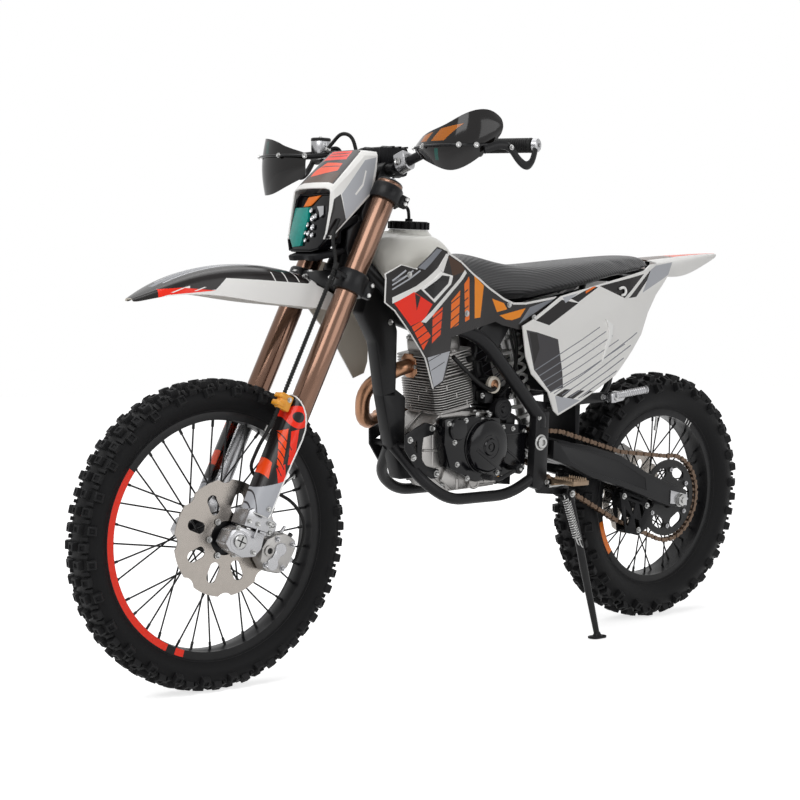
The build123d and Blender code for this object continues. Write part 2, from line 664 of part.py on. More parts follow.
airbox_half = 70
with BuildPart() as airbox:
    add_plate(side(airbox_half),
              [(-262, 858.8), (-500, 906.4), (-470, 700), (-380, 660), (-262, 640)], airbox_half * 2)

with BuildPart() as inner_mudguard:
    add_plate(side(58), [(-364, 657), (-380, 659.7), (-386, 662), (-388, 470), (-376, 470)], 116)

pipe_end = Vector(-330, -176, 672)
with BuildPart() as exhaust_pipe:
    port = barrel.from_local_coords((port_centre[0] + gap, port_centre[1], port_centre[2]))
    add_tube([port, port + barrel.x_dir * 36, (244, -78, 655), (214, -112, 560),
              (60, -140, 590), (-160, -154, 640), pipe_end], 32, 18)

with BuildPart() as muffler:
    inlet = (pipe_end - Vector(-160, -154, 640)).normalized()
    add_rod(pipe_end + inlet * gap, pipe_end + inlet * 60, 24)
    add_rod(pipe_end + inlet * 40, pipe_end + inlet * 40 + Vector(-330, 0, 124), 42)

# ---------------------------------------------------------------- bodywork
cap_at = (186, 1040)
shroud_bosses = [(180, 912), (96, 872)]
with BuildPart() as fuel_tank:
    add_arch([(steer_x - 554, mirrored([(50, 985), (58, 1010), (40, 1024)])),
              (steer_x - 614, mirrored([(90, 873), (92, 985), (52, 1034)])),
              (134, mirrored([(104, 838), (100, 970), (54, 1030)])),
              (118, mirrored([(104, 834), (98, 950), (50, 973)])),
              (64, mirrored([(100, 820.4), (94, 930), (46, 958)]))])
    add_rod((cap_at[0], 0, cap_at[1] - 20), (cap_at[0], 0, cap_at[1]), 44)
    for x, z in shroud_bosses:
        add_rod((x, -118, z), (x, 118, z), 9)

with BuildPart() as tank_cap:
    add_rod((cap_at[0], 0, cap_at[1] + gap), (cap_at[0], 0, cap_at[1] + 20), 50)

with BuildPart() as seat:
    add_plate(side(104), [(112, 994), (40, 985), (-40, 971), (-140, 956), (-310, 966), (-500, 982),
                          (-600, 991), (-640, 982), (-616, 962), (-560, 946), (-252, 893), (-93, 870),
                          (40, 880), (56, 962), (112, 978)], 208)
    with BuildSketch(Plane.XY.offset(800)) as plan:
        with BuildLine():
            Polyline((120, 58), (20, 66), (-140, 92), (-350, 104), (-600, 92), (-650, 60), (-650, -60),
                     (-600, -92), (-350, -104), (-140, -92), (20, -66), (120, -58), close=True)
        make_face()
    extrude(amount=300, mode=Mode.INTERSECT)

with BuildPart() as tank_shrouds:
    shells = [(steer_x - 420, [(150, 640), (168, 850), (166, 950), (140, 1010)]),
              (250, [(146, 640), (166, 800), (160, 920), (118, 1010)]),
              (60, [(128, 640), (142, 830), (132, 920), (100, 1010)]),
              (-120, [(116, 640), (126, 800), (118, 880), (96, 1010)])]
    add_arch([(x, [(60, 640)] + pts + [(60, 1010)]) for x, pts in shells])
    add_arch([(x, [(50, 630)] + [(y - panel_wall, z) for y, z in pts] + [(50, 1020)]) for x, pts in shells],
             mode=Mode.SUBTRACT)
    add_plate(side(220),
              [(steer_x - 454, 939), (steer_x - 505, 961), (steer_x - 549, 952), (217, 1003), (182, 992),
               (138, 972), (98, 943), (41, 912), (-21, 884), (-58, 873), (-84, 872), (-84, 830),
               (-60, 812), (8, 827), (82, 811), (171, 793), (178, 712), (189, 684), (220, 672),
               (262, 745), (317, 805), (steer_x - 483, 856), (steer_x - 454, 874)], 140,
              mode=Mode.INTERSECT)
    for (x, z), reach in zip(shroud_bosses, (147, 139)):
        add_rod((x, 118 + gap, z), (x, reach, z), 9)
    mirror(about=Plane.XZ)

with BuildPart() as side_panels:
    shells = [(-80, [(112, 570), (128, 700), (126, 820), (112, 900)]),
              (-300, [(112, 570), (130, 700), (130, 820), (110, 940)]),
              (-500, [(104, 570), (120, 760), (116, 880), (98, 960)]),
              (-720, [(80, 570), (90, 850), (84, 940), (74, 980)])]
    add_arch([(x, [(40, 570)] + pts + [(40, 1000)]) for x, pts in shells])
    add_arch([(x, [(30, 560)] + [(y - panel_wall, z) for y, z in pts] + [(30, 1010)]) for x, pts in shells],
             mode=Mode.SUBTRACT)
    add_plate(side(220), [(-88, 811), (-130, 696), (-169, 641), (-220, 598), (-232, 591), (-369, 642),
                          (-456, 679), (-490, 738), (-545, 794), (-574, 846), (-603, 894), (-667, 938),
                          (-640, 948), (-551, 940), (-379, 905), (-246, 880), (-133, 866), (-88, 866)], 180,
              mode=Mode.INTERSECT)
    for x, z in ((-300, 760), (-440, 820)):
        add_rod((x, airbox_half + gap, z), (x, 121, z), 9)
    mirror(about=Plane.XZ)

with BuildPart() as rear_fender:
    top = [(-646, 984, 84, 948), (-711, 992, 72, 944), (-840, 1000, 42, 960), (-971, 1005, 10, 994)]
    for inset in (0, 3):
        stations = []
        for x, crown, half, skirt in top:
            if inset and half < 20:
                half = 12
            shoulder = skirt + (crown - skirt) * 0.8 - inset
            points = [(half - inset, skirt - inset * 3), (half * 0.96 - inset, shoulder),
                      (half * 0.5, crown - inset)]
            stations.append((x, mirrored(points)))
        add_arch(stations, mode=Mode.SUBTRACT if inset else Mode.ADD)

# ---------------------------------------------------------------- foot controls, stand and brakes
with BuildPart() as footpegs:
    add_plate(Plane.XY.offset(418), [(-226, 124), (-282, 124), (-278, 196), (-232, 192)], 14, corner=6)
    add_plate(side(126), [(-226, 432), (-282, 432), (-282, 412), (-226, 412)], 126 - 111 - gap)
    mirror(about=Plane.XZ)

with BuildPart() as rear_pegs:
    add_rod((-430, 106 + gap, 627), (-430, 136, 627), 12)
    add_rod((-430, 136, 634), (-552, 136, 646), 9)
    mirror(about=Plane.XZ)

with BuildPart() as foot_controls:
    add_rod((-95, 92 + gap, 462), (-95, 132, 462), 7)
    add_tube([(-95, 126, 462), (-30, 128, 440), (30, 132, 452), (30, 162, 452)], 10, 5)
    add_rod((-186, -upright_outer - gap, 424), (-186, -136, 424), 10)
    add_tube([(-186, -130, 424), (-90, -132, 402), (0, -130, 420), (0, -162, 424)], 10, 6)

with BuildPart() as rear_caliper:
    add_plate(side(-44), [(rear_axle.X + 28, 400), (rear_axle.X + 28, 470), (rear_axle.X + 80, 470),
                          (rear_axle.X + 118, 440), (rear_axle.X + 100, 400)], 32, corner=8)
    add_plate(side(-74), [(rear_axle.X + 40, 402), (rear_axle.X + 100, 410), (rear_axle.X + 100, 372),
                          (rear_axle.X + 40, 356)], arm_inner - gap - 74)
    with BuildSketch(axle_side(rear_axle, -disc_y - 1 - disc_thickness - disc_clear)):
        Circle(rear_disc_radius + disc_clear)
    extrude(amount=disc_thickness + disc_clear * 2, mode=Mode.SUBTRACT)

foot_down = Vector(stand_foot[0], stand_foot[1] * cos(radians(lean_angle)),
                   stand_foot[1] * sin(radians(lean_angle)))
floor_up = Vector(0, -sin(radians(lean_angle)), cos(radians(lean_angle)))
with BuildPart() as side_stand:
    add_rod((stand_pivot[0], stand_pivot[1] + gap, stand_pivot[2]),
            (stand_pivot[0], stand_pivot[1] + 26, stand_pivot[2]), 11)
    add_rod((stand_pivot[0], stand_pivot[1] + 17, stand_pivot[2]), foot_down + floor_up * 4, 10)
    with BuildSketch(Plane(origin=foot_down, z_dir=floor_up)):
        Circle(24)
    extrude(amount=6)

# ---------------------------------------------------------------- parked pose and export
steering_axis = Axis(steer.origin, steer.z_dir)
turned = {"front_tyre": front_tyre, "front_rim": front_rim, "front_hub": front_hub,
          "front_disc": front_disc, "fork_tubes": fork_tubes, "fork_lowers": fork_lowers,
          "front_axle": front_axle_shaft, "fork_guards": fork_guards, "triple_clamps": triple_clamps,
          "handlebar": handlebar, "bar_pad": bar_pad, "grips": grips, "clutch_lever": clutch_lever,
          "brake_master": brake_master, "handguards": handguards, "headlight_mask": headlight_mask,
          "headlight": headlight, "front_fender": front_fender, "front_caliper": front_caliper,
          "front_brake_hose": front_brake_hose}
straight = {"rear_tyre": rear_tyre, "rear_rim": rear_rim, "rear_hub": rear_hub, "rear_disc": rear_disc,
            "rear_sprocket": rear_sprocket, "main_frame": main_frame, "subframe": subframe,
            "swingarm": swingarm, "rear_axle": rear_axle_shaft, "drive_chain": drive_chain,
            "front_sprocket": front_sprocket, "chain_guide": chain_guide,
            "shock_absorber": shock_absorber, "crankcase": crankcase, "cylinder": cylinder,
            "engine_covers": engine_covers, "carburettor": carburettor, "airbox": airbox,
            "inner_mudguard": inner_mudguard, "exhaust_pipe": exhaust_pipe, "muffler": muffler,
            "fuel_tank": fuel_tank, "tank_cap": tank_cap, "seat": seat, "tank_shrouds": tank_shrouds,
            "side_panels": side_panels, "rear_fender": rear_fender, "footpegs": footpegs,
            "rear_pegs": rear_pegs, "foot_controls": foot_controls, "rear_caliper": rear_caliper,
            "side_stand": side_stand}

parked = {}
for label, piece in turned.items():
    parked[label] = piece.part.rotate(steering_axis, steer_rest).rotate(Axis.X, -lean_angle)
for label, piece in straight.items():
    parked[label] = piece.part.rotate(Axis.X, -lean_angle)

whole = Compound(children=[Compound(shape.solids()) for shape in parked.values()]).bounding_box()
origin_shift = Vector(-(whole.min.X + whole.max.X) / 2, -(whole.min.Y + whole.max.Y) / 2, -whole.min.Z)
for label, shape in parked.items():
    placed = shape.translate(origin_shift)
    placed.label = label
    export_step(placed, f"parts/{label}.step")
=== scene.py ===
import bpy
import bmesh
import json
from math import cos, hypot, pi, radians, sin
from mathutils import Matrix, Vector


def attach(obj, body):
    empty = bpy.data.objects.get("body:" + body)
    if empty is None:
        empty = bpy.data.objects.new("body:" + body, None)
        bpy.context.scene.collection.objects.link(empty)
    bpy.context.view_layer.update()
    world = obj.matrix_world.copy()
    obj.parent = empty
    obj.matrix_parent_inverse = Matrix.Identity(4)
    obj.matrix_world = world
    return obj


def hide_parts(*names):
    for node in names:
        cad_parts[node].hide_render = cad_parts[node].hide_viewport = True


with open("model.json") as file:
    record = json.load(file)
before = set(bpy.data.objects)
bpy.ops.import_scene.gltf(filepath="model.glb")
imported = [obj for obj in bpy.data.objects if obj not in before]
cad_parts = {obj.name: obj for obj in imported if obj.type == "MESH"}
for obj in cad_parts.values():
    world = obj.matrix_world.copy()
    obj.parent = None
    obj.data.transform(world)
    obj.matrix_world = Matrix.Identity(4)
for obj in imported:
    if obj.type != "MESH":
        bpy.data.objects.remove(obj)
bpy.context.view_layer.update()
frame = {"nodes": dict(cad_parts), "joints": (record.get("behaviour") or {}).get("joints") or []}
print("frame loaded")

# where things are: the bike is drawn upright in millimetres, then leaned and turned
toLeft, toRight, upward, forward = (0, 1, 0), (0, -1, 0), (0, 0, 1), (1, 0, 0)
shift = Matrix.Translation
bike = {
    "lean": 4.0, "steerRest": -4.0, "rake": 25.5, "steerFoot": 850,
    "frontAxle": (740, 0, 348), "rearAxle": (-740, 0, 338)}


def turned(degrees, axis):
    return Matrix.Rotation(radians(degrees), 4, axis)


steerJoint = [j for j in frame["joints"] if j["name"] == "steering"][0]
leanTurn = turned(-bike["lean"], "X")
floorShift = Vector(steerJoint["pos_m"]) - leanTurn @ Vector((bike["steerFoot"] / 1000, 0, 0))
upright = shift(floorShift) @ leanTurn @ Matrix.Diagonal((0.001, 0.001, 0.001, 1))
rakeSin, rakeCos = sin(radians(bike["rake"])), cos(radians(bike["rake"]))
steerUp = Vector((-rakeSin, 0, rakeCos))
steerPoint = Vector((bike["steerFoot"], 0, 0))
steered = upright @ shift(steerPoint) @ turned(bike["steerRest"], steerUp) @ shift(-steerPoint)
# the fork's own (ahead, left, up the leg)
forkPlace = shift(steerPoint) @ Matrix(((rakeCos, 0, -rakeSin, 0), (0, 1, 0, 0), (rakeSin, 0, rakeCos, 0),
    (0, 0, 0, 1)))
fork = steered @ forkPlace
frontWheel = steered @ shift(bike["frontAxle"])
rearWheel = upright @ shift(bike["rearAxle"])


# mesh helpers
def link(name, data):
    thing = bpy.data.objects.new(name, data)
    bpy.context.scene.collection.objects.link(thing)
    return thing


def toMesh(bm):
    if isinstance(bm, bpy.types.Mesh):
        return bm
    mesh = bpy.data.meshes.new("draft")
    bm.to_mesh(mesh)
    bm.free()
    return mesh


def toBmesh(part):
    if isinstance(part, bmesh.types.BMesh):
        return part
    bm = bmesh.new()
    bm.from_mesh(part)
    return bm


def joined(parts):
    # one shape made of several, which are used up
    bm = bmesh.new()
    for part in parts:
        mesh = toMesh(part)
        bm.from_mesh(mesh)
        bpy.data.meshes.remove(mesh)
    return bm


def evaluated(thing):
    return bpy.data.meshes.new_from_object(thing.evaluated_get(bpy.context.evaluated_depsgraph_get()))


def refined(part, modifiers):
    # the part with modifiers run on it; a Mesh among their settings becomes a helper object
    thing = link("draft", toMesh(part))
    tools = []
    for kind, settings in modifiers:
        modifier = thing.modifiers.new(kind.lower(), kind)
        for key, value in settings.items():
            if isinstance(value, bpy.types.Mesh):
                value = link("tool", value)
                tools.append(value)
            setattr(modifier, key, value)
    result = evaluated(thing)
    for extra in tools + [thing]:
        bpy.data.objects.remove(extra)
    return result


def subdivision(levels):
    return ("SUBSURF", {"levels": levels, "render_levels": levels})


def wall(thickness):
    return ("SOLIDIFY", {"thickness": thickness, "offset": -1, "use_even_offset": True})


def rounded(width, segments=2, angle=35):
    return ("BEVEL", {"width": width, "segments": segments, "limit_method": "ANGLE",
        "angle_limit": radians(angle), "profile": 0.5, "material": -1})


def cutBy(tool, operation="DIFFERENCE"):
    return ("BOOLEAN", {"operation": operation, "solver": "EXACT", "object": tool})


def tinted(part, index):
    bm = toBmesh(part)
    for face in bm.faces:
        face.material_index = index
    return bm


def moved(part, *places):
    bm = toBmesh(part)
    for place in places:
        bm.transform(place)
    return bm


def vertsIn(geom):
    return [g for g in geom if isinstance(g, bmesh.types.BMVert)]


def both(part):
    # the part and its twin on the other side
    bm = toBmesh(part)
    twin = bmesh.ops.duplicate(bm, geom=bm.verts[:] + bm.edges[:] + bm.faces[:])["geom"]
    bmesh.ops.scale(bm, verts=vertsIn(twin), vec=(1, -1, 1))
    bmesh.ops.reverse_faces(bm, faces=[g for g in twin if isinstance(g, bmesh.types.BMFace)])
    return bm


def twins(parts):
    return [both(part) for part in parts]


def facing(bm, axis):
    # turned inside out if the faces mostly look back along the axis (0, 1, 2 for x, y, z)
    if sum(f.normal[axis] for f in bm.faces) < 0:
        bmesh.ops.reverse_faces(bm, faces=bm.faces)
    return bm


def grouped(*groups):
    # the parts of each group take the first, the second material and so on
    return [tinted(part, index) for index, group in enumerate(groups) for part in group]


def piece(name, parts, materials, replaced=None, place=upright, body=None, shade=35):
    mesh = toMesh(joined(parts))
    mesh.name = name
    # the drawing position in millimetres, kept for the painted patterns
    flat = mesh.attributes.new("flat", "FLOAT_VECTOR", "POINT")
    flat.data.foreach_set("vector", [c for v in mesh.vertices for c in v.co])
    mesh.transform(place)
    for material in materials:
        mesh.materials.append(material)
    mesh.polygons.foreach_set("use_smooth", [True] * len(mesh.polygons))
    mesh.set_sharp_from_angle(angle=radians(shade))
    thing = link(name, mesh)
    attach(thing, body or ("chassis" if place is upright else "steering"))
    if replaced:
        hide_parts(replaced)


def polyline(bm, points, closed):
    # vertices and edges through the points
    verts = [bm.verts.new(point) for point in points]
    ends = verts[1:] + verts[:1] if closed else verts[1:]
    return verts, [bm.edges.new(pair) for pair in zip(verts, ends)]


def swept(points, axis, steps, angle=360, closed=False):
    bm = bmesh.new()
    verts, edges = polyline(bm, points, closed)
    bmesh.ops.spin(bm, geom=verts + edges, cent=(0, 0, 0), axis=axis, angle=radians(angle), steps=steps,
        use_merge=angle == 360)
    bmesh.ops.remove_doubles(bm, verts=bm.verts, dist=0.001)
    bmesh.ops.recalc_face_normals(bm, faces=bm.faces)
    return bm


def spun(profile, steps=96):
    # turned on the wheel's axis from (across, radius) points
    return swept([(0, a, r) for a, r in profile], toLeft, steps, closed=True)


def strip(profile, start, end, steps=40):
    # an open band from one angle to another, measured from straight ahead upwards
    return moved(swept([(0, a, r) for a, r in profile], toLeft, steps, end - start), turned(90 - end, "Y"))


def bevelled(bm, width, edges=None, segments=2):
    if width:
        bmesh.ops.bevel(bm, geom=bm.edges[:] if edges is None else edges, offset=width, affect="EDGES",
            segments=segments, profile=0.5, material=-1)
    return bm


def plate(outline, low, high, bevel=0):
    # a flat sheet drawn from the side, from y low to y high
    bm = bmesh.new()
    face = bm.faces.new([bm.verts.new((x, low, z)) for x, z in outline])
    grown = bmesh.ops.extrude_face_region(bm, geom=[face])
    bmesh.ops.translate(bm, vec=(0, high - low, 0), verts=vertsIn(grown["geom"]))
    bmesh.ops.recalc_face_normals(bm, faces=bm.faces)
    return bevelled(bm, bevel)


def slab(outline, low, high, bevel=0):
    # a flat sheet drawn from above, from z low to z high
    return moved(plate(outline, -high, -low, bevel), turned(-90, "X"))


def aimed(at, direction):
    # puts a shape drawn along z at a place, pointing a way
    return shift(at) @ Vector(upward).rotation_difference(Vector(direction)).to_matrix().to_4x4()


def cone(bm, sides, low, high, depth):
    return bmesh.ops.create_cone(bm, cap_ends=True, segments=sides, radius1=low, radius2=high,
        depth=depth)["verts"]


def rod(start, end, radius, sides=24, endRadius=None, bevel=0):
    start, end = Vector(start), Vector(end)
    bm = bmesh.new()
    cone(bm, sides, radius, radius if endRadius is None else endRadius, (end - start).length)
    rims = [e for e in bm.edges if abs(e.verts[0].co.z - e.verts[1].co.z) < 1e-4]
    return moved(bevelled(bm, bevel, rims), aimed((start + end) / 2, end - start))


def crossRod(x, z, low, high, radius, sides=24, endRadius=None, bevel=0):
    # a rod straight across the bike
    return rod((x, low, z), (x, high, z), radius, sides, endRadius, bevel)


def block(low, high, bevel=0):
    bm = bmesh.new()
    bmesh.ops.create_cube(bm, size=1)
    low, high = Vector(low), Vector(high)
    bmesh.ops.scale(bm, verts=bm.verts, vec=high - low)
    bmesh.ops.translate(bm, verts=bm.verts, vec=(low + high) / 2)
    return bevelled(bm, bevel)


def hose(points, radius, straight=False, sides=3):
    curve = bpy.data.curves.new("draft", "CURVE")
    curve.dimensions = "3D"
    curve.bevel_depth = radius
    curve.bevel_resolution = sides
    curve.resolution_u = 6
    curve.use_fill_caps = True
    spline = curve.splines.new("POLY" if straight else "NURBS")
    spline.points.add(len(points) - 1)
    for point, target in zip(spline.points, points):
        point.co = (*target, 1)
    if not straight:
        spline.order_u = 3
        spline.use_endpoint_u = True
    thing = link("draft", curve)
    mesh = evaluated(thing)
    bpy.data.objects.remove(thing)
    return mesh


def bentTube(points, bend, radius, sides=5, bendSteps=6):
    # straight runs with a rounded bend at each corner
    path = [Vector(points[0])]
    for before, corner, after in zip(points, points[1:], points[2:]):
        corner = Vector(corner)
        back, on = Vector(before) - corner, Vector(after) - corner
        cut = min(bend, back.length * 0.48, on.length * 0.48)
        first, last = corner + back.normalized() * cut, corner + on.normalized() * cut
        for i in range(bendSteps + 1):
            t = i / bendSteps
            path.append(first * (1 - t) ** 2 + corner * 2 * t * (1 - t) + last * t ** 2)
    path.append(Vector(points[-1]))
    return hose(path, radius, straight=True, sides=sides)


def lofted(stations, closed=False):
    # a skin over rows of points; a closed one also gets end caps
    bm = bmesh.new()
    rows = [polyline(bm, station, closed)[1] for station in stations]
    for first, second in zip(rows, rows[1:]):
        bmesh.ops.bridge_loops(bm, edges=first + second)
    if closed:
        for edges in (rows[0], rows[-1]):
            bmesh.ops.contextual_create(bm, geom=edges)
    bmesh.ops.recalc_face_normals(bm, faces=bm.faces)
    return bm


def mirrored(half):
    # a ring of points from its left half, which starts and ends on the middle plane
    return list(half) + [(x, -y, z) for x, y, z in reversed(half[1:-1])]


def overTop(half):
    # a row from the left edge over the top to the right edge, from its left half
    return list(reversed(half)) + [(x, -y, z) for x, y, z in half[1:]]


def panel(outline, surface, thickness, step=9, edge=1.2):
    # a curved sheet: a grid laid on the surface, thickened, then cut to its outline
    xs, zs = [p[0] for p in outline], [p[1] for p in outline]
    low, high = (min(xs) - step, min(zs) - step), (max(xs) + step, max(zs) + step)
    bm = bmesh.new()
    bmesh.ops.create_grid(bm, x_segments=int((high[0] - low[0]) / step),
        y_segments=int((high[1] - low[1]) / step), size=0.5)
    for v in bm.verts:
        x = low[0] + (v.co.x + 0.5) * (high[0] - low[0])
        z = low[1] + (v.co.y + 0.5) * (high[1] - low[1])
        v.co = (x, surface(x, z), z)
    bmesh.ops.recalc_face_normals(bm, faces=bm.faces)
    bmesh.ops.solidify(facing(bm, 1), geom=bm.faces[:], thickness=thickness)
    bmesh.ops.recalc_face_normals(bm, faces=bm.faces)
    pastBike = 600
    cutter = toMesh(plate(outline, -pastBike, pastBike))
    return refined(refined(bm, [cutBy(cutter, "INTERSECT")]), [rounded(edge, 2, 60)])


def stamped(stamp, places):
    bm = bmesh.new()
    for place in places:
        copy = stamp.copy()
        copy.transform(place)
        bm.from_mesh(copy)
        bpy.data.meshes.remove(copy)
    return bm


def bolt(at, direction, radius=5, height=4):
    # a socket-head screw with its washer
    bm = bmesh.new()
    cone(bm, 16, radius, radius * 0.92, height)
    bmesh.ops.translate(bm, verts=bm.verts, vec=(0, 0, height / 2 + 1))
    top = max(bm.faces, key=lambda f: f.calc_center_median().z)
    bmesh.ops.inset_region(bm, faces=[top], thickness=radius * 0.42)
    bmesh.ops.translate(bm, verts=top.verts, vec=(0, 0, -height * 0.5))
    bmesh.ops.translate(bm, verts=cone(bm, 20, radius * 1.5, radius * 1.45, 1.2), vec=(0, 0, 0.6))
    return moved(bm, aimed(at, direction))


def bolts(places, y, radius=5, height=4):
    # screws facing the rider's left, at (along, up) places
    return [bolt((x, y, z), toLeft, radius, height) for x, z in places]


def nut(at, direction, radius=9, height=7):
    # a hexagon nut with its stud showing
    bm = bmesh.new()
    cone(bm, 6, radius, radius, height)
    bevelled(bm, radius * 0.08)
    bmesh.ops.translate(bm, verts=bm.verts, vec=(0, 0, height / 2))
    stud = cone(bm, 16, radius * 0.55, radius * 0.5, height * 1.5)
    bmesh.ops.translate(bm, verts=stud, vec=(0, 0, height * 0.75))
    return moved(bm, aimed(at, direction))


def lathe(profile, at, direction, steps=48, closed=False):
    # turned shape: (along, radius) points about an axis through a place
    return moved(swept([(r, 0, a) for a, r in profile], upward, steps, closed=closed), aimed(at, direction))


# finishes
def feed(tree, made, sockets):
    # sets a node's inputs by name or number; an output given as the value is linked
    for key, value in sockets.items():
        if isinstance(value, bpy.types.NodeSocket):
            tree.links.new(value, made.inputs[key])
        else:
            made.inputs[key].default_value = value


def node(tree, kind, sockets, out=0, **settings):
    # a new shader node's output
    made = tree.nodes.new("ShaderNode" + kind)
    for key, value in settings.items():
        setattr(made, key, value)
    feed(tree, made, sockets)
    return made.outputs[out]


def maths(tree, operation, *values):
    return node(tree, "Math", dict(enumerate(values)), operation=operation)


def mixed(tree, first, second, share):
    colours = {key: value if isinstance(value, bpy.types.NodeSocket) else (*value, 1)
        for key, value in ((6, first), (7, second))}
    return node(tree, "Mix", {"Factor": share, **colours}, out=2, data_type="RGBA")


def finish(name, colour, rough=0.4, metal=0.0, coat=0.0, mottle=0.12, mottleScale=18, grain=0.15,
        grainScale=900, roughSpread=0.08, stretch=(1, 1, 1), shapes=(), specular=0.5, worn=None):
    material = bpy.data.materials.new(name)
    material.use_nodes = True
    tree = material.node_tree
    where = node(tree, "TexCoord", {}, out="Object")
    where = node(tree, "Mapping", {"Scale": stretch, "Vector": where})
    clouds = node(tree, "TexNoise", {"Vector": where, "Scale": mottleScale, "Detail": 6.0,
        "Roughness": 0.6})
    grit = node(tree, "TexNoise", {"Vector": where, "Scale": grainScale, "Detail": 3.0})
    dark, pale = [c * (1 - mottle) for c in colour], [min(1, c * (1 + mottle)) for c in colour]
    shade = painted(tree, mixed(tree, dark, pale, clouds), shapes)
    if worn:
        # rubbed edges and the high spots show the lighter base
        sharp = node(tree, "NewGeometry", {}, out="Pointiness")
        edge = node(tree, "MapRange", {"Value": sharp, "From Min": 0.53, "From Max": 0.62})
        shade = mixed(tree, shade, worn, maths(tree, "MULTIPLY", edge, clouds))
    spread = node(tree, "MapRange", {"Value": clouds, "To Min": max(0.02, rough - roughSpread),
        "To Max": min(1, rough + roughSpread)})
    bump = node(tree, "Bump", {"Strength": grain, "Distance": 0.0005, "Height": grit})
    feed(tree, tree.nodes["Principled BSDF"], {"Base Color": shade, "Roughness": spread, "Normal": bump,
        "Metallic": metal, "Coat Weight": coat, "Coat Roughness": 0.08, "Specular IOR Level": specular})
    return material


def masked(tree, flat, shape):
    # 1 inside the shape: a ring, or a polygon whose corners run one way round without a dent
    if "ring" in shape:
        x, z, outer, inner = shape["ring"]
        away = node(tree, "VectorMath", {0: flat, 1: (1, 0, 1), 2: (-x, 0, -z)}, operation="MULTIPLY_ADD")
        length = node(tree, "VectorMath", {0: away}, out="Value", operation="LENGTH")
        return maths(tree, "COMPARE", length, (outer + inner) / 2, (outer - inner) / 2)
    points, axis = shape["poly"], shape.get("axis", "side")
    if sum(a[0] * b[1] - b[0] * a[1] for a, b in zip(points, points[1:] + points[:1])) < 0:
        points = points[::-1]
    result = None
    for (ax, az), (bx, bz) in zip(points, points[1:] + points[:1]):
        span = hypot(bx - ax, bz - az)
        across = (-(bz - az) / span, (bx - ax) / span)
        way = {"side": (across[0], 0, across[1]), "top": (*across, 0), "front": (0, *across)}[axis]
        dot = node(tree, "VectorMath", {0: flat, 1: way}, out="Value", operation="DOT_PRODUCT")
        inside = maths(tree, "GREATER_THAN", dot, across[0] * ax + across[1] * az)
        result = maths(tree, "MULTIPLY", result, inside) if result else inside
    return result


def painted(tree, shade, shapes):
    # flat graphics laid over the base colour, later ones on top
    if shapes:
        flat = node(tree, "Attribute", {}, out="Vector", attribute_name="flat")
    for shape in shapes:
        shade = mixed(tree, shade, shape["colour"], masked(tree, flat, shape))
    return shade


def stripes(start, end, count, width, colour):
    # parallel thin lines; start and end are the first and last line's end points
    made = []
    for i in range(count):
        t = i / (count - 1)
        a, b = [[p + (q - p) * t for p, q in zip(start[k], end[k])] for k in (0, 1)]
        span = hypot(b[0] - a[0], b[1] - a[1])
        nx, nz = -(b[1] - a[1]) / span * width / 2, (b[0] - a[0]) / span * width / 2
        made.append({"colour": colour, "poly": [(a[0] + nx, a[1] + nz), (b[0] + nx, b[1] + nz),
            (b[0] - nx, b[1] - nz), (a[0] - nx, a[1] - nz)]})
    return made


# studio: camera, soft lights, pale floor
shot = {"place": (3.1307, 3.3334, 0.8164), "yaw": 48.22, "pitch": 2.43, "roll": -0.43, "lens": 82.45}
studio = {
    "floorSize": 30.0, "floorLift": -0.0015, "worldLevel": 0.2,
    "glow": {"From Min": 1.0, "From Max": 3.5, "To Min": 0.72, "To Max": 1.0},
    "lights": [("key", (3.2, 1.2, 3.4), (0.2, 0, 0.6), (2.6, 2.6), 104),
        ("fill", (-0.6, 4.2, 1.8), (0, 0, 0.6), (3.0, 2.2), 48),
        ("top", (-0.5, -1.0, 4.0), (0, 0, 0.6), (4.0, 3.0), 60)]}


def addCamera():
    yaw, pitch, roll = (radians(shot[k]) for k in ("yaw", "pitch", "roll"))
    ahead = Vector((-cos(yaw) * cos(pitch), -sin(yaw) * cos(pitch), -sin(pitch)))
    right = ahead.cross(Vector(upward)).normalized()
    top = right.cross(ahead)
    right, top = right * cos(roll) + top * sin(roll), top * cos(roll) - right * sin(roll)
    camera = link("camera", bpy.data.cameras.new("camera"))
    camera.data.lens = shot["lens"]
    camera.data.sensor_width = 36
    camera.data.clip_end = 100
    facingWay = Matrix((right, top, -ahead)).transposed().to_4x4()
    camera.matrix_world = shift(Vector(shot["place"]) + floorShift) @ facingWay
    bpy.context.scene.camera = camera


def softbox(name, place, target, size, power):
    light = bpy.data.lights.new(name, "AREA")
    light.shape = "RECTANGLE"
    light.size, light.size_y = size
    light.energy = power
    way = Vector(target) - Vector(place)
    link(name, light).matrix_world = shift(place) @ way.to_track_quat("-Z", "Y").to_matrix().to_4x4()


def seenDirectly(tree):
    # 1 for what the camera sees straight, mirrored or through glass
    path = tree.nodes.new("ShaderNodeLightPath").outputs
    first = maths(tree, "MAXIMUM", path["Is Camera Ray"], path["Is Glossy Ray"])
    return maths(tree, "MAXIMUM", first, path["Is Transmission Ray"])


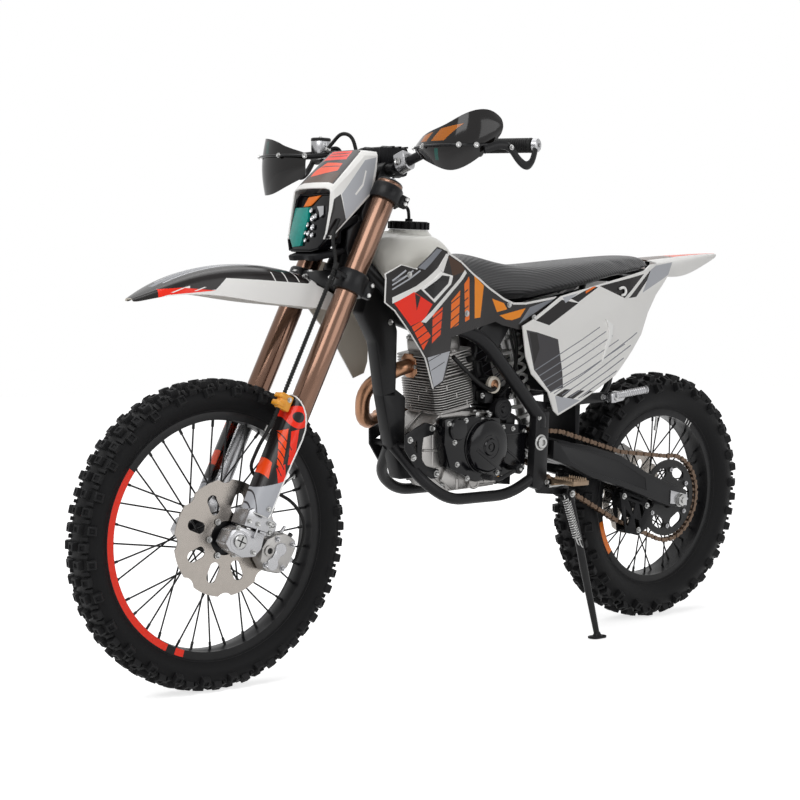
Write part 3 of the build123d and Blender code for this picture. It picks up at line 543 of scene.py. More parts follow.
def addStudio():
    bm = bmesh.new()
    bmesh.ops.create_grid(bm, x_segments=1, y_segments=1, size=studio["floorSize"] / 2)
    floor = link("studio_floor", toMesh(moved(bm, shift((0, 0, studio["floorLift"])))))
    material = bpy.data.materials.new("studioFloor")
    material.use_nodes = True
    tree = material.node_tree
    tree.nodes.clear()
    matte = node(tree, "BsdfDiffuse", {"Color": (0.8, 0.8, 0.8, 1)})
    # brighter away from the bike, so that the far floor is as white as the world
    where = node(tree, "TexCoord", {}, out="Object")
    reach = node(tree, "VectorMath", {0: where}, out="Value", operation="LENGTH")
    level = node(tree, "MapRange", {"Value": reach, **studio["glow"]})
    glow = node(tree, "Emission", {"Color": (1, 1, 1, 1), "Strength": level})
    lit = node(tree, "AddShader", {0: matte, 1: glow})
    seen = node(tree, "MixShader", {"Fac": seenDirectly(tree), 1: matte, 2: lit})
    feed(tree, tree.nodes.new("ShaderNodeOutputMaterial"), {"Surface": seen})
    floor.data.materials.append(material)

    world = bpy.data.worlds.new("studio")
    world.use_nodes = True
    tree = world.node_tree
    level = node(tree, "MapRange", {"Value": seenDirectly(tree), "To Min": studio["worldLevel"],
        "To Max": 1.0})
    feed(tree, tree.nodes["Background"], {"Strength": level, "Color": (1, 1, 1, 1)})
    bpy.context.scene.world = world
    for light in studio["lights"]:
        softbox(*light)


addCamera()
addStudio()
bpy.context.scene.view_settings.view_transform = "Standard"
print("studio ready")

# finishes shared by several pieces
def decals(name, colour, shapes, **changes):
    # printed gloss plastic
    look = {"rough": 0.24, "mottle": 0.02, "grain": 0.05, "coat": 0.06, "specular": 0.2}
    return finish(name, colour, shapes=shapes, **{**look, **changes})


rubberBlack = finish("rubberBlack", (0.0055, 0.0055, 0.006), specular=0.1, rough=0.5, mottle=0.35,
    mottleScale=30, grain=0.5, grainScale=700, worn=(0.03, 0.03, 0.031))
satinBlack = finish("satinBlack", (0.006, 0.006, 0.007), specular=0.15, rough=0.34, mottle=0.2, grain=0.2,
    grainScale=1400, worn=(0.04, 0.04, 0.04))
glossBlack = finish("glossBlack", (0.003, 0.003, 0.004), specular=0.2, rough=0.16, mottle=0.2, grain=0.04,
    roughSpread=0.05, coat=0.1)
mouldedBlack = finish("mouldedBlack", (0.007, 0.007, 0.008), specular=0.1, rough=0.5, mottle=0.2,
    grain=0.45, grainScale=1800)
frameGrey = finish("frameGrey", (0.010, 0.010, 0.011), specular=0.14, rough=0.36, mottle=0.15, grain=0.2,
    grainScale=1100, coat=0.04)
castSilver = finish("castSilver", (0.33, 0.32, 0.31), rough=0.42, metal=0.85, mottle=0.16, mottleScale=26,
    grain=0.6, grainScale=1300)
brightSilver = finish("brightSilver", (0.36, 0.36, 0.37), rough=0.27, metal=0.95, mottle=0.07,
    mottleScale=40, grain=0.15, grainScale=900, stretch=(1, 6, 1))
zincSteel = finish("zincSteel", (0.38, 0.38, 0.375), rough=0.3, metal=1.0, mottle=0.12,
    mottleScale=60, grain=0.2)
discSteel = finish("discSteel", (0.3, 0.275, 0.25), rough=0.22, metal=1.0, mottle=0.12, mottleScale=60,
    grain=0.35, grainScale=500)
bronzeTube = finish("bronzeTube", (0.17, 0.095, 0.065), rough=0.2, metal=0.75, mottle=0.06, mottleScale=12,
    grain=0.05, roughSpread=0.04)
whiteGloss = finish("whiteGloss", (0.82, 0.815, 0.8), rough=0.22, mottle=0.02, mottleScale=7, grain=0.04,
    roughSpread=0.05, coat=0.3)
tankShell = finish("tankShell", (0.76, 0.75, 0.7), rough=0.3, mottle=0.05, mottleScale=6, grain=0.12,
    grainScale=300)
hoseRubber = finish("hoseRubber", (0.008, 0.008, 0.008), specular=0.15, rough=0.48, mottle=0.2,
    mottleScale=60, grain=0.5, grainScale=1500)
chainBronze = finish("chainBronze", (0.12, 0.08, 0.055), rough=0.36, metal=0.9, mottle=0.3,
    mottleScale=120, grain=0.2)
heatedSteel = finish("heatedSteel", (0.32, 0.17, 0.1), rough=0.3, metal=0.95, mottle=0.35,
    mottleScale=14, grain=0.15)
pegBronze = finish("pegBronze", (0.22, 0.16, 0.11), rough=0.4, metal=0.9, mottle=0.2,
    mottleScale=70, grain=0.4)
redPaint = finish("redPaint", (0.86, 0.035, 0.015), rough=0.3, mottle=0.05, grain=0.05, coat=0.06,
    specular=0.2)
orangePaint = finish("orangePaint", (0.85, 0.2, 0.02), rough=0.3, mottle=0.05, grain=0.05, coat=0.06,
    specular=0.2)
amberClip = finish("amberClip", (0.78, 0.33, 0.02), rough=0.35, mottle=0.08, grain=0.1)
print("finishes ready")

# wheels, drawn with the axle at the origin and the rider's left at +y
frontWheelSpec = {
    "body": "front_wheel", "place": frontWheel, "nodes": ("front_tyre", "front_rim", "front_hub"),
    "radius": 348, "hole": 257, "halfRim": 26, "spokes": 36, "cross": 68, "flangeY": 35, "flangeR": 37,
    "carcass": [(23, 264), (24.5, 275), (33, 284), (41, 297), (43, 309), (40, 323), (31, 332.5),
        (16, 336.5), (0, 337.5)],
    "rows": 56, "crown": [(0, 337.5, 0), (16, 336.3, 9), (31, 331.5, 32), (40.5, 320.5, 62)],
    "lug": (21, 21, 11), "lugPattern": ((0, 2), (1, 3)),
    "hub": [(-66, 14), (-66, 21), (-60, 23), (-44, 23), (-40, 27), (-39, 40), (-31, 40), (-30, 28),
        (-22, 24), (22, 24), (30, 28), (31, 40), (39, 40), (41, 30), (48, 32), (50, 47), (57.5, 47),
        (57.5, 20), (66, 19), (66, 14)],
    "valveAngle": 152, "bands": [(redPaint, -62, 36), (redPaint, -72, -67)]}
rearWheelSpec = {
    "body": "rear_wheel", "place": rearWheel, "nodes": ("rear_tyre", "rear_rim", "rear_hub"),
    "radius": 338, "hole": 219, "halfRim": 33, "spokes": 36, "cross": 68, "flangeY": 39, "flangeR": 43,
    "carcass": [(30, 226), (31.5, 237), (42, 247), (52, 262), (55.5, 280), (53, 300), (44, 316),
        (24, 324.5), (0, 326.5)],
    "rows": 46, "crown": [(0, 326.5, 0), (22, 324.5, 7), (40, 317, 30), (51.5, 301.5, 62)],
    "lug": (26, 23, 11.5), "lugPattern": ((0, 2), (1, 3)),
    "hub": [(-58, 14), (-58, 43), (-52, 43), (-47, 32), (-43, 33), (-42, 46), (-35, 46), (-34, 34),
        (-28, 30), (28, 30), (34, 34), (35, 46), (42, 46), (46, 36), (50, 40), (67, 40), (67, 14)],
    "valveAngle": 96, "bands": [(orangePaint, -38, -14)]}


def treadBlock(size):
    # one tread block along +z with a shallow dimple, standing on its foot
    across, along, tall = size
    foot = 5
    bm = bmesh.new()
    bmesh.ops.create_cube(bm, size=1)
    bmesh.ops.scale(bm, verts=bm.verts, vec=(along, across, tall + foot))
    bmesh.ops.translate(bm, verts=bm.verts, vec=(0, 0, (tall + foot) / 2 - foot))
    height = lambda f: f.calc_center_median().z
    bmesh.ops.scale(bm, verts=max(bm.faces, key=height).verts, vec=(0.86, 0.86, 1))
    bmesh.ops.delete(bm, geom=[min(bm.faces, key=height)], context="FACES_ONLY")
    bevelled(bm, 0.9, [e for e in bm.edges if not e.is_boundary], 1)
    top = max(bm.faces, key=height)
    bmesh.ops.inset_region(bm, faces=[top], thickness=along * 0.24)
    bmesh.ops.inset_region(bm, faces=[top], thickness=1.2)
    bmesh.ops.translate(bm, verts=top.verts, vec=(0, 0, -2))
    return toMesh(bm)


def onTread(spec, row, column):
    # the places of one row's blocks in a column, left and right unless it is the middle one
    y, radius, tip = spec["crown"][column]
    return [Matrix.Rotation(2 * pi * row / spec["rows"], 4, "Y") @ shift((0, y * sign, radius))
        @ turned(-tip * sign, "X") for sign in ((1, -1) if y else (1,))]


def makeTyre(spec, name):
    half = spec["carcass"]
    inside, foot = half[0]
    outline = half + [(-y, r) for y, r in reversed(half[:-1])] + [(4 - inside, foot), (inside - 4, foot)]
    carcass = refined(spun(outline, 120), [subdivision(1)])
    blocks, ties = [], []
    for row in range(spec["rows"]):
        for column in spec["lugPattern"][row % 2]:
            blocks += onTread(spec, row, column)
        ties += onTread(spec, row + 0.5, 2)
    # short ties between the shoulder blocks and fine ribs down the side wall
    tie = toMesh(block((-4, -9, -4), (4, 9, 4.5), 0.8))
    (lowY, lowR), (highY, highR) = half[1:3]
    ribs = []
    for sign in (1, -1):
        for step in (0.25, 0.6):
            y, r = (lowY + (highY - lowY) * step) * sign, lowR + (highR - lowR) * step
            ribs.append(spun([(y, r - 1), (y + 0.9 * sign, r), (y, r + 1)], 96))
    piece(name, [carcass, stamped(treadBlock(spec["lug"]), blocks), stamped(tie, ties)] + ribs,
        [rubberBlack], spec["nodes"][0], place=spec["place"], body=spec["body"], shade=40)


def makeRim(spec, name):
    hole, half = spec["hole"], spec["halfRim"]
    seat, lip = hole + 6, hole + 20
    outline = [(half, seat - 4), (half + 1.2, lip - 1.5), (half + 0.4, lip), (half - 1.6, lip - 0.4),
        (half - 3.2, seat), (half * 0.5, seat - 2), (8, hole + 3), (-8, hole + 3), (-half * 0.5, seat - 2),
        (3.2 - half, seat), (1.6 - half, lip - 0.4), (-half - 0.4, lip), (-half - 1.2, lip - 1.5),
        (-half, seat - 4), (-half * 0.62, hole + 1.5), (-10, hole - 0.5), (10, hole - 0.5),
        (half * 0.62, hole + 1.5)]
    parts = [spun(outline, 144)]
    colours = [satinBlack]
    for paint, start, end in spec["bands"]:
        band = strip([(half + 1.35 - 1.25, seat - 3.5), (half + 1.35, lip - 1.8)], start, end, 48)
        parts.append(tinted(band, len(colours)))
        colours.append(paint)
    for i in range(3):       # pale dashes on the near face
        start = 118 + i * 2.6
        parts.append(tinted(strip([(half + 0.3, seat - 2.5), (half + 1.3, lip - 2.4)], start, start + 0.7,
            3), len(colours)))
    colours.append(whiteGloss)
    piece(name, parts, colours, spec["nodes"][1], place=spec["place"], body=spec["body"])


def makeHub(spec, name):
    hole, flange, y = spec["hole"], spec["flangeR"], spec["flangeY"]
    bore = 10.4
    outline = spec["hub"] + [(spec["hub"][-1][0], bore), (spec["hub"][0][0], bore)]
    parts = [refined(spun(outline, 64), [rounded(0.8, 2, 30)])]
    for i in range(spec["spokes"]):
        rimAngle = 2 * pi * i / spec["spokes"]
        hubAngle = rimAngle + radians(spec["cross"] if (i // 2) % 2 else -spec["cross"])
        side = y if i % 2 else -y
        inner = Vector((cos(hubAngle) * flange, side, sin(hubAngle) * flange))
        outer = Vector((cos(rimAngle) * hole, side * 0.12, sin(rimAngle) * hole))
        reach, head = (outer - inner).normalized(), Vector((0, 4.5, 0))
        parts += [rod(inner, outer, 2.0, 10), rod(outer - reach * 16, outer + reach * 3, 3.4, 6, 3.1, 0.5),
            rod(inner - head, inner + head, 3.6, 10, bevel=0.8)]
    turn = radians(spec["valveAngle"])
    stem = Vector((cos(turn), 0, sin(turn)))
    steps = ((34, -2, 3.6, 14, 0), (42, 30, 4.6, 14, 1), (6, 0, 7, 6, 0.6))
    valve = [rod(stem * (hole - low), stem * (hole - high), radius, sides, bevel=bevel)
        for low, high, radius, sides, bevel in steps]
    piece(name, grouped(parts, valve), [satinBlack, zincSteel], spec["nodes"][2],
        place=spec["place"], body=spec["body"])


for spec, words in ((frontWheelSpec, "front"), (rearWheelSpec, "rear")):
    makeTyre(spec, words + "TreadTyre")
    makeRim(spec, words + "WheelRim")
    makeHub(spec, words + "LacedHub")
print("wheels ready")

# bodywork, in the upright bike's millimetres; graphics are plain slanted blocks and stripes
inks = {
    "dark": (0.014, 0.012, 0.012), "white": (0.8, 0.79, 0.77), "grey": (0.2, 0.21, 0.235),
    "pale": (0.42, 0.43, 0.46), "red": (0.86, 0.028, 0.01), "ember": (0.87, 0.07, 0.01),
    "orange": (0.88, 0.17, 0.008), "amber": (0.9, 0.27, 0.008), "brown": (0.055, 0.022, 0.008),
    "smoke": (0.045, 0.042, 0.046), "ash": (0.1, 0.1, 0.108)}


def between(x, table):
    # straight-line look-up in (x, value) pairs
    table = sorted(table)
    if x <= table[0][0]:
        return table[0][1]
    for (a, p), (b, q) in zip(table, table[1:]):
        if x <= b:
            return p + (q - p) * (x - a) / (b - a)
    return table[-1][1]


def border(points, width, colour):
    # an even band just inside an outline's run of points
    made = []
    for (ax, az), (bx, bz) in zip(points, points[1:]):
        span = hypot(bx - ax, bz - az)
        ux, uz = (bx - ax) / span, (bz - az) / span
        nx, nz = -uz * width, ux * width
        e = width * 0.35
        made.append({"colour": colour, "poly": [(ax - ux * e + nx * 0.2, az - uz * e + nz * 0.2),
            (bx + ux * e + nx * 0.2, bz + uz * e + nz * 0.2), (bx + ux * e - nx, bz + uz * e - nz),
            (ax - ux * e - nx, az - uz * e - nz)]})
    return made


def ink(name, *points, axis="side"):
    return {"colour": inks[name], "poly": list(points), "axis": axis}


shroud = {
    "outline": [(396, 939), (345, 961), (301, 952), (217, 1003), (182, 992), (138, 972), (98, 943),
        (41, 912), (-21, 884), (-58, 873), (-106, 873), (-223, 888), (-87, 806), (-19, 818), (8, 827),
        (82, 811), (171, 793), (178, 712), (189, 684), (220, 672), (262, 745), (317, 805), (367, 856),
        (396, 874)],
    "across": [(430, 158), (330, 164), (250, 163), (60, 138), (-120, 122), (-230, 114)],
    "shapes": [
        ink("ash", (377, 935), (346, 955), (305, 946), (214, 973), (227, 957), (303, 918), (377, 887)),
        ink("dark", (377, 920), (305, 946), (214, 973), (227, 957), (303, 918), (377, 887)),
        ink("grey", (296, 954), (221, 999), (204, 996), (275, 950)),
        *stripes([(378, 924), (334, 948)], [(377, 904), (290, 948)], 3, 3.4, inks["pale"]),
        ink("white", (376, 886), (303, 914), (303, 900), (375, 872)),
        ink("white", (304, 914), (227, 957), (215, 944), (303, 900)),
        ink("white", (228, 957), (191, 988), (181, 986), (213, 944)),
        ink("red", (370, 873), (312, 899), (250, 871), (274, 836), (316, 821)),
        ink("dark", (309, 896), (290, 888), (300, 856)),
        ink("brown", (184, 983), (139, 966), (128, 948), (180, 936)),
        ink("ember", (313, 819), (284, 832), (250, 798), (271, 765)),
        ink("ember", (247, 846), (212, 864), (214, 800), (244, 780)),
        ink("orange", (181, 878), (150, 903), (148, 822), (178, 812)),
        ink("orange", (136, 918), (118, 936), (108, 834), (124, 828)),
        ink("amber", (98, 938), (60, 914), (66, 838), (88, 836)),
        ink("amber", (40, 905), (5, 900), (-20, 872), (-62, 862), (4, 850)),
        ink("amber", (-6, 842), (-104, 859), (-84, 837), (-54, 830), (-30, 832)),
        *stripes([(316, 800), (120, 905)], [(262, 744), (110, 828)], 5, 3, inks["dark"]),
        ink("grey", (-80, 820), (-120, 861), (-229, 888)),
        ink("pale", (255, 747), (175, 760), (189, 690), (219, 676)),
        *stripes([(250, 738), (208, 754)], [(236, 716), (190, 735)], 2, 2, inks["smoke"]),
        ink("white", (129, 951), (124, 944), (268, 828), (284, 830)),
        ink("dark", (12, 835), (-30, 822), (-84, 812), (-30, 826))],
    "rim": [(220, 672), (262, 745), (317, 805), (367, 856), (396, 874), (396, 939), (345, 961), (301, 952)],
    "seatRim": [(182, 992), (138, 972), (98, 943), (41, 912), (-21, 884), (-58, 873), (-106, 873),
        (-223, 888)],
    "ledge": [(249, 801), (171, 815), (83, 833), (12, 846), (-107, 866), (-223, 889), (-110, 872),
        (-58, 862), (13, 848), (95, 831), (178, 813), (246, 792)],
    "scoopFrame": [(292, 906), (221, 945), (181, 937), (189, 917), (245, 875)],
    "scoop": [(283, 905), (221, 938), (194, 936), (200, 919), (250, 883)]}


def shroudY(x, z, proud=0):
    y = between(x, shroud["across"])
    if z > 930:
        y -= (z - 930) * 0.32
    if z < 760:
        y -= (760 - z) * 0.10
    # the front half folds outwards along its slanting crease
    fold = (z - 640) * 0.55 + (x - 120) * 0.42
    return y + proud + max(-4.0, min(4.0, (fold - 150) * 0.05))


sidePanel = {
    "outline": [(-88, 816), (-120, 829), (-232, 889), (-371, 918), (-562, 956), (-591, 972), (-694, 982),
        (-665, 942), (-609, 894), (-574, 846), (-548, 790), (-512, 751), (-473, 713), (-443, 684),
        (-364, 643), (-315, 620), (-241, 588), (-222, 601), (-194, 648), (-127, 696), (-104, 740)],
    "across": [(-80, 128), (-300, 131), (-500, 120), (-720, 90)],
    "crest": [(-80, 820), (-300, 820), (-500, 880), (-720, 940)],
    "shapes": [
        ink("smoke", (-101, 806), (-139, 800), (-214, 782), (-245, 660), (-200, 650), (-134, 707)),
        ink("dark", (-112, 800), (-139, 797), (-150, 760), (-134, 720)),
        ink("dark", (-134, 829), (-232, 880), (-291, 872), (-180, 817)),
        ink("pale", (-236, 886), (-294, 897), (-245, 872)),
        ink("dark", (-291, 874), (-370, 912), (-355, 914), (-313, 901), (-265, 883)),
        ink("orange", (-322, 896), (-362, 913), (-352, 914), (-322, 902)),
        ink("dark", (-377, 915), (-560, 948), (-469, 885)),
        ink("dark", (-485, 885), (-588, 957), (-595, 950), (-516, 888)),
        ink("pale", (-592, 959), (-616, 970), (-693, 980), (-690, 956), (-649, 938), (-546, 899)),
        ink("pale", (-220, 639), (-315, 625), (-241, 594)),
        ink("dark", (-222, 640), (-253, 655), (-279, 654), (-248, 634)),
        ink("dark", (-263, 633), (-302, 651), (-329, 649), (-288, 629)),
        ink("dark", (-314, 629), (-349, 648), (-363, 647)),
        *stripes([(-138, 706), (-370, 811)], [(-201, 648), (-476, 766)], 5, 2.6, inks["grey"]),
        *stripes([(-215, 645), (-528, 795)], [(-307, 630), (-448, 697)], 4, 3, inks["grey"])],
    "frontRim": [(-241, 588), (-222, 601), (-194, 648), (-127, 696), (-104, 740), (-88, 816), (-120, 829),
        (-232, 889), (-371, 918), (-562, 956)],
    "rib": [(-390, 832), (-422, 816), (-414, 776), (-380, 716), (-402, 778), (-404, 808)],
    "hook": [(-448, 909), (-462, 915), (-472, 905), (-466, 893), (-455, 893)]}


def sideY(x, z, proud=0):
    y = between(x, sidePanel["across"]) + proud
    top = between(x, sidePanel["crest"])
    if z > top:
        y -= (z - top) * 0.18
    if z < 700:
        y -= (700 - z) * 0.12
    return y


shroudGraphics = decals("shroudGraphics", inks["dark"], shroud["shapes"]
    + border(shroud["rim"], 8, inks["white"]) + border(shroud["seatRim"][::-1], 5, inks["white"]),
    mottle=0.08, mottleScale=8)
panelGraphics = decals("panelGraphics", inks["white"], sidePanel["shapes"]
    + border(sidePanel["frontRim"], 5, inks["white"]), mottleScale=7)
insideBeige = finish("insideBeige", (0.62, 0.57, 0.49), rough=0.45, mottle=0.06, mottleScale=9, grain=0.15)


def lined(part, index):
    # what faces the bike takes the plain inside finish
    bm = toBmesh(part)
    for face in bm.faces:
        if face.material_index == 0 and face.normal.y * face.calc_center_median().y < -2:
            face.material_index = index
    return bm


def makeShrouds():
    left = [panel(shroud["outline"], shroudY, 3.5),
        tinted(panel(shroud["ledge"], lambda x, z: shroudY(x, z, 3.5), 5, edge=1.6), 1),
        tinted(panel(shroud["scoopFrame"], lambda x, z: shroudY(x, z, 2.5), 4, step=6), 1),
        tinted(panel(shroud["scoop"], lambda x, z: shroudY(x, z, 2.8), 1.5, step=6, edge=0.4), 2)]
    for x, z in ((327, 938), (120, 848), (-40, 868)):
        left.append(tinted(bolt((x, shroudY(x, z) + 0.5, z), toLeft, 5, 3), 3))
    for x, z in ((180, 912), (96, 872)):      # bosses on the tank
        left.append(tinted(rod((x, 118, z), (x, shroudY(x, z) - 3, z), 9, bevel=1), 1))
    piece("tankSideCovers", [lined(both(part), 4) for part in left],
        [shroudGraphics, whiteGloss, glossBlack, zincSteel, insideBeige], "tank_shrouds")


def makeSidePanels():
    left = [panel(sidePanel["outline"], sideY, 3.5),
        tinted(panel(sidePanel["rib"], lambda x, z: sideY(x, z, 4), 6, step=5, edge=1.5), 1),
        tinted(hose([(x, sideY(x, z) + 5, z) for x, z in sidePanel["hook"]], 3.5), 1)]
    for x, z in ((-300, 760), (-440, 820)):   # posts on the airbox
        left.append(tinted(rod((x, 70.5, z), (x, sideY(x, z) - 3, z), 9, bevel=1), 1))
    left.append(tinted(bolt((-130, sideY(-130, 842) - 0.5, 836), toLeft, 5, 3), 2))
    piece("numberSidePanels", twins(left), [panelGraphics, whiteGloss, zincSteel],
        "side_panels")


tank = {
    "stations": [(318, 40, 1000, 966), (300, 58, 1016, 925), (280, 74, 1025, 900), (252, 92, 1031, 880),
        (200, 102, 1035, 862), (134, 104, 1029, 842), (104, 101, 992, 836), (64, 97, 962, 824)],
    "neckAt": 186, "ribs": 20}


def makeTank():
    rows = []
    for x, half, top, low in tank["stations"]:
        mid = (top + low) / 2
        side = [(0, top + 2), (half * 0.42, top + 1), (half * 0.78, top - 12), (half * 0.98, mid + 12),
            (half, mid - 14), (half * 0.96, low + 4), (half * 0.6, low), (0, low)]
        rows.append(mirrored([(x, y, z) for y, z in side]))
    shell = refined(lofted(rows, closed=True), [subdivision(2)])
    x = tank["neckAt"]
    # the collar is turned about its own upright axis
    collar = moved(spun([(1012, 62), (1028, 56), (1034, 50), (1040, 46), (1040, 30), (1012, 30)], 64),
        turned(-90, "X"), Matrix.Diagonal((1, 1, -1, 1)))
    collar = moved(collar, shift((x, 0, 0)))
    bmesh.ops.recalc_face_normals(collar, faces=collar.faces)
    seam = hose([(tank["stations"][0][0] + 2, 0, 1000), (306, 0, 1022), (262, 0, 1034.5),
        (200, 0, 1038.5)], 1.6)
    piece("fuelTankShell", [shell, collar, seam], [tankShell], "fuel_tank", shade=50)


def makeTankCap():
    x = tank["neckAt"]
    cap = rod((x, 0, 1040.5), (x, 0, 1060), 46, 64, bevel=2.5)
    rib = toMesh(block((x + 44, -4.2, 1041), (x + 50, 4.2, 1058.5), 1.6))
    places = [shift((x, 0, 0)) @ Matrix.Rotation(2 * pi * i / tank["ribs"], 4, "Z") @ shift((-x, 0, 0))
        for i in range(tank["ribs"])]
    vent = hose([(x, 0, 1058), (x, 0, 1084), (x + 12, 0, 1096), (x + 40, 8, 1098), (x + 62, 16, 1090)], 4)
    piece("screwTankCap", [cap, stamped(rib, places), rod((x, 0, 1059), (x, 0, 1066), 9, 24, bevel=1.2),
        tinted(vent, 1)], [mouldedBlack, hoseRubber], "tank_cap")


seatSpec = {
    "stations": [(112, 54, 990, 962), (60, 60, 990, 905), (-10, 68, 978, 886), (-80, 80, 962, 880),
        (-150, 92, 954, 880), (-240, 101, 960, 896), (-350, 104, 970, 915), (-460, 100, 979, 940),
        (-560, 94, 987, 956), (-610, 86, 988, 966), (-640, 66, 984, 970)],
    "voxel": 0.006, "pressure": 4.0, "cap": 0.006}
seatVinyl = bpy.data.materials.new("seatVinyl")


def makeSeatVinyl():
    seatVinyl.use_nodes = True
    tree = seatVinyl.node_tree
    where = node(tree, "TexCoord", {}, out="Object")
    # curved grip ribs: rings about a point low on the left, with fine vinyl grain between
    around = node(tree, "Mapping", {"Vector": where, "Location": (0.12, 0, -0.55)})
    lines = node(tree, "TexWave", {"Vector": around, "Scale": 46.0, "Distortion": 0.6, "Detail": 0.0},
        out="Fac", wave_type="RINGS", rings_direction="Y")
    grain = node(tree, "TexVoronoi", {"Vector": where, "Scale": 900.0})
    high = maths(tree, "MULTIPLY_ADD", grain, 0.25, lines)
    bump = node(tree, "Bump", {"Strength": 0.55, "Distance": 0.0012, "Height": high})
    feed(tree, tree.nodes["Principled BSDF"], {"Normal": bump,
        "Base Color": mixed(tree, (0.008, 0.008, 0.009), (0.03, 0.03, 0.032), lines), "Roughness": 0.5,
        "Sheen Weight": 0.15})


def makeSeat():
    rows = []
    for x, half, top, low in seatSpec["stations"]:
        side = [(0, top), (half * 0.5, top - 1), (half * 0.82, top - 9), (half * 0.97, top - 26),
            (half, (top + low) / 2 - 6), (half * 0.97, low), (half * 0.5, low + 4), (0, low + 4)]
        rows.append(mirrored([(x, y, z) for y, z in side]))
    start = refined(lofted(rows, closed=True), [subdivision(2)])
    start.transform(upright)
    seat = link("grippySeat", start)
    inflate(seat, seatSpec)
    seat.data.materials.clear()
    seat.data.materials.append(seatVinyl)
    seat.data.polygons.foreach_set("use_smooth", [True] * len(seat.data.polygons))
    modifier = seat.modifiers.new("finer", "SUBSURF")
    modifier.levels = modifier.render_levels = 1
    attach(seat, "chassis")
    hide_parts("seat")


def inflate(thing, spec):
    # the foam swells under its cover, by no more than the cap
    remesh = thing.modifiers.new("remesh", "REMESH")
    remesh.mode = "VOXEL"
    remesh.voxel_size = spec["voxel"]
    base = evaluated(thing)
    thing.modifiers.clear()
    thing.data = base
    start = [v.co.copy() for v in base.vertices]
    cloth = thing.modifiers.new("cloth", "CLOTH")
    cloth.settings.use_pressure = True
    cloth.settings.uniform_pressure_force = spec["pressure"]
    cloth.settings.effector_weights.gravity = 0
    scene = bpy.context.scene
    for moment in range(1, 21):
        scene.frame_set(moment)
    puffed = evaluated(thing)
    thing.modifiers.clear()
    for v, was in zip(puffed.vertices, start):
        away = v.co - was
        if away.length > spec["cap"]:
            v.co = was + away.normalized() * spec["cap"]
    thing.data = puffed
    scene.frame_set(1)


tail = {
    "stations": [(-640, 86, 984, 944), (-711, 76, 991, 938), (-790, 58, 997, 946), (-870, 36, 1002, 966),
        (-930, 22, 1005, 984), (-971, 10, 1006, 996)],
    "shapes": [ink("brown", (-640, 40), (-760, 34), (-760, -34), (-640, -40), axis="top"),
        ink("ember", (-760, 30), (-975, 4), (-975, -4), (-760, -30), axis="top")]}
tailGraphics = decals("tailGraphics", inks["white"], tail["shapes"])


def arch(stations, thickness=3):
    # a long shell: each row runs over the top from one skirt to the other
    rows = []
    for x, half, crown, skirt in stations:
        shoulder = skirt + (crown - skirt) * 0.72
        side = [(0, crown), (half * 0.45, crown - 0.5), (half * 0.8, crown - (crown - skirt) * 0.12),
            (half * 0.96, shoulder), (half, skirt)]
        rows.append(overTop([(x, y, z) for y, z in side]))
    return refined(facing(lofted(rows), 2), [subdivision(2), wall(thickness)])


def makeTail():
    piece("rearMudguardTail", [arch(tail["stations"])], [tailGraphics],
        "rear_fender", shade=60)


frontFender = {
    "stations": [(424, 48, 884, 846), (470, 60, 907, 850), (520, 66, 930, 856), (617, 74, 950, 862),
        (700, 78, 951, 872), (770, 74, 942, 882), (840, 64, 924, 884), (900, 48, 898, 878),
        (953, 16, 873, 862)]}


def makeFrontFender():
    shapes = [ink("white", (420, 840), (420, 960), (960, 960), (960, 840)),
        ink("dark", (490, 927), (528, 909), (663, 916), (663, 960), (490, 960)),
        ink("dark", (663, 916), (752, 919), (769, 960), (663, 960)),
        ink("dark", (752, 919), (778, 894), (838, 886), (838, 960), (752, 960)),
        ink("dark", (838, 886), (916, 880), (960, 868), (960, 960), (838, 960)),
        ink("red", (764, 905), (776, 892), (906, 879), (923, 888), (901, 900), (856, 897)),
        ink("white", (800, 899), (806, 899), (830, 890), (824, 890)),
        ink("white", (850, 896), (856, 896), (880, 886), (874, 886)),
        ink("red", (922, 897), (883, 882), (911, 872), (950, 874), (944, 886)),
        ink("dark", (430, 880), (500, 906), (500, 930), (430, 930))]
    shapes += [ink("white", (x + 10, 934), (x + 13, 934), (x + 3, 912), (x, 912))
        for x in range(518, 654, 34)]
    shapes += [ink("pale", (540, 40), (880, 22), (880, 14), (540, 26), axis="top"),
        ink("pale", (540, -40), (880, -22), (880, -14), (540, -26), axis="top"),
        ink("grey", (540, 20), (900, 9), (900, -9), (540, -20), axis="top"),
        ink("dark", (905, 50), (960, 20), (960, -20), (905, -50), axis="top")]
    shell = toBmesh(arch(frontFender["stations"], 3.2))
    # the underside of the shell is plain beige
    for face in shell.faces:
        face.material_index = 1 if face.normal.z < -0.15 else 0
    screws = [bolt((500, y, 936.6), upward, 5, 3) for y in (30, -30)]
    piece("frontMudguard", [shell] + [tinted(screw, 2) for screw in screws],
        [decals("fenderGraphics", inks["white"], shapes), insideBeige, zincSteel],
        "front_fender", place=steered, shade=60)


makeShrouds()
makeSidePanels()
makeTank()
makeTankCap()
makeSeatVinyl()
makeSeat()
makeTail()
makeFrontFender()
print("bodywork ready")

# front end; fork pieces are drawn as (ahead of the steering axis, left, along it)
leg = {"v": 18.5, "y": 96, "axleV": 50.5, "axleU": 361.5}


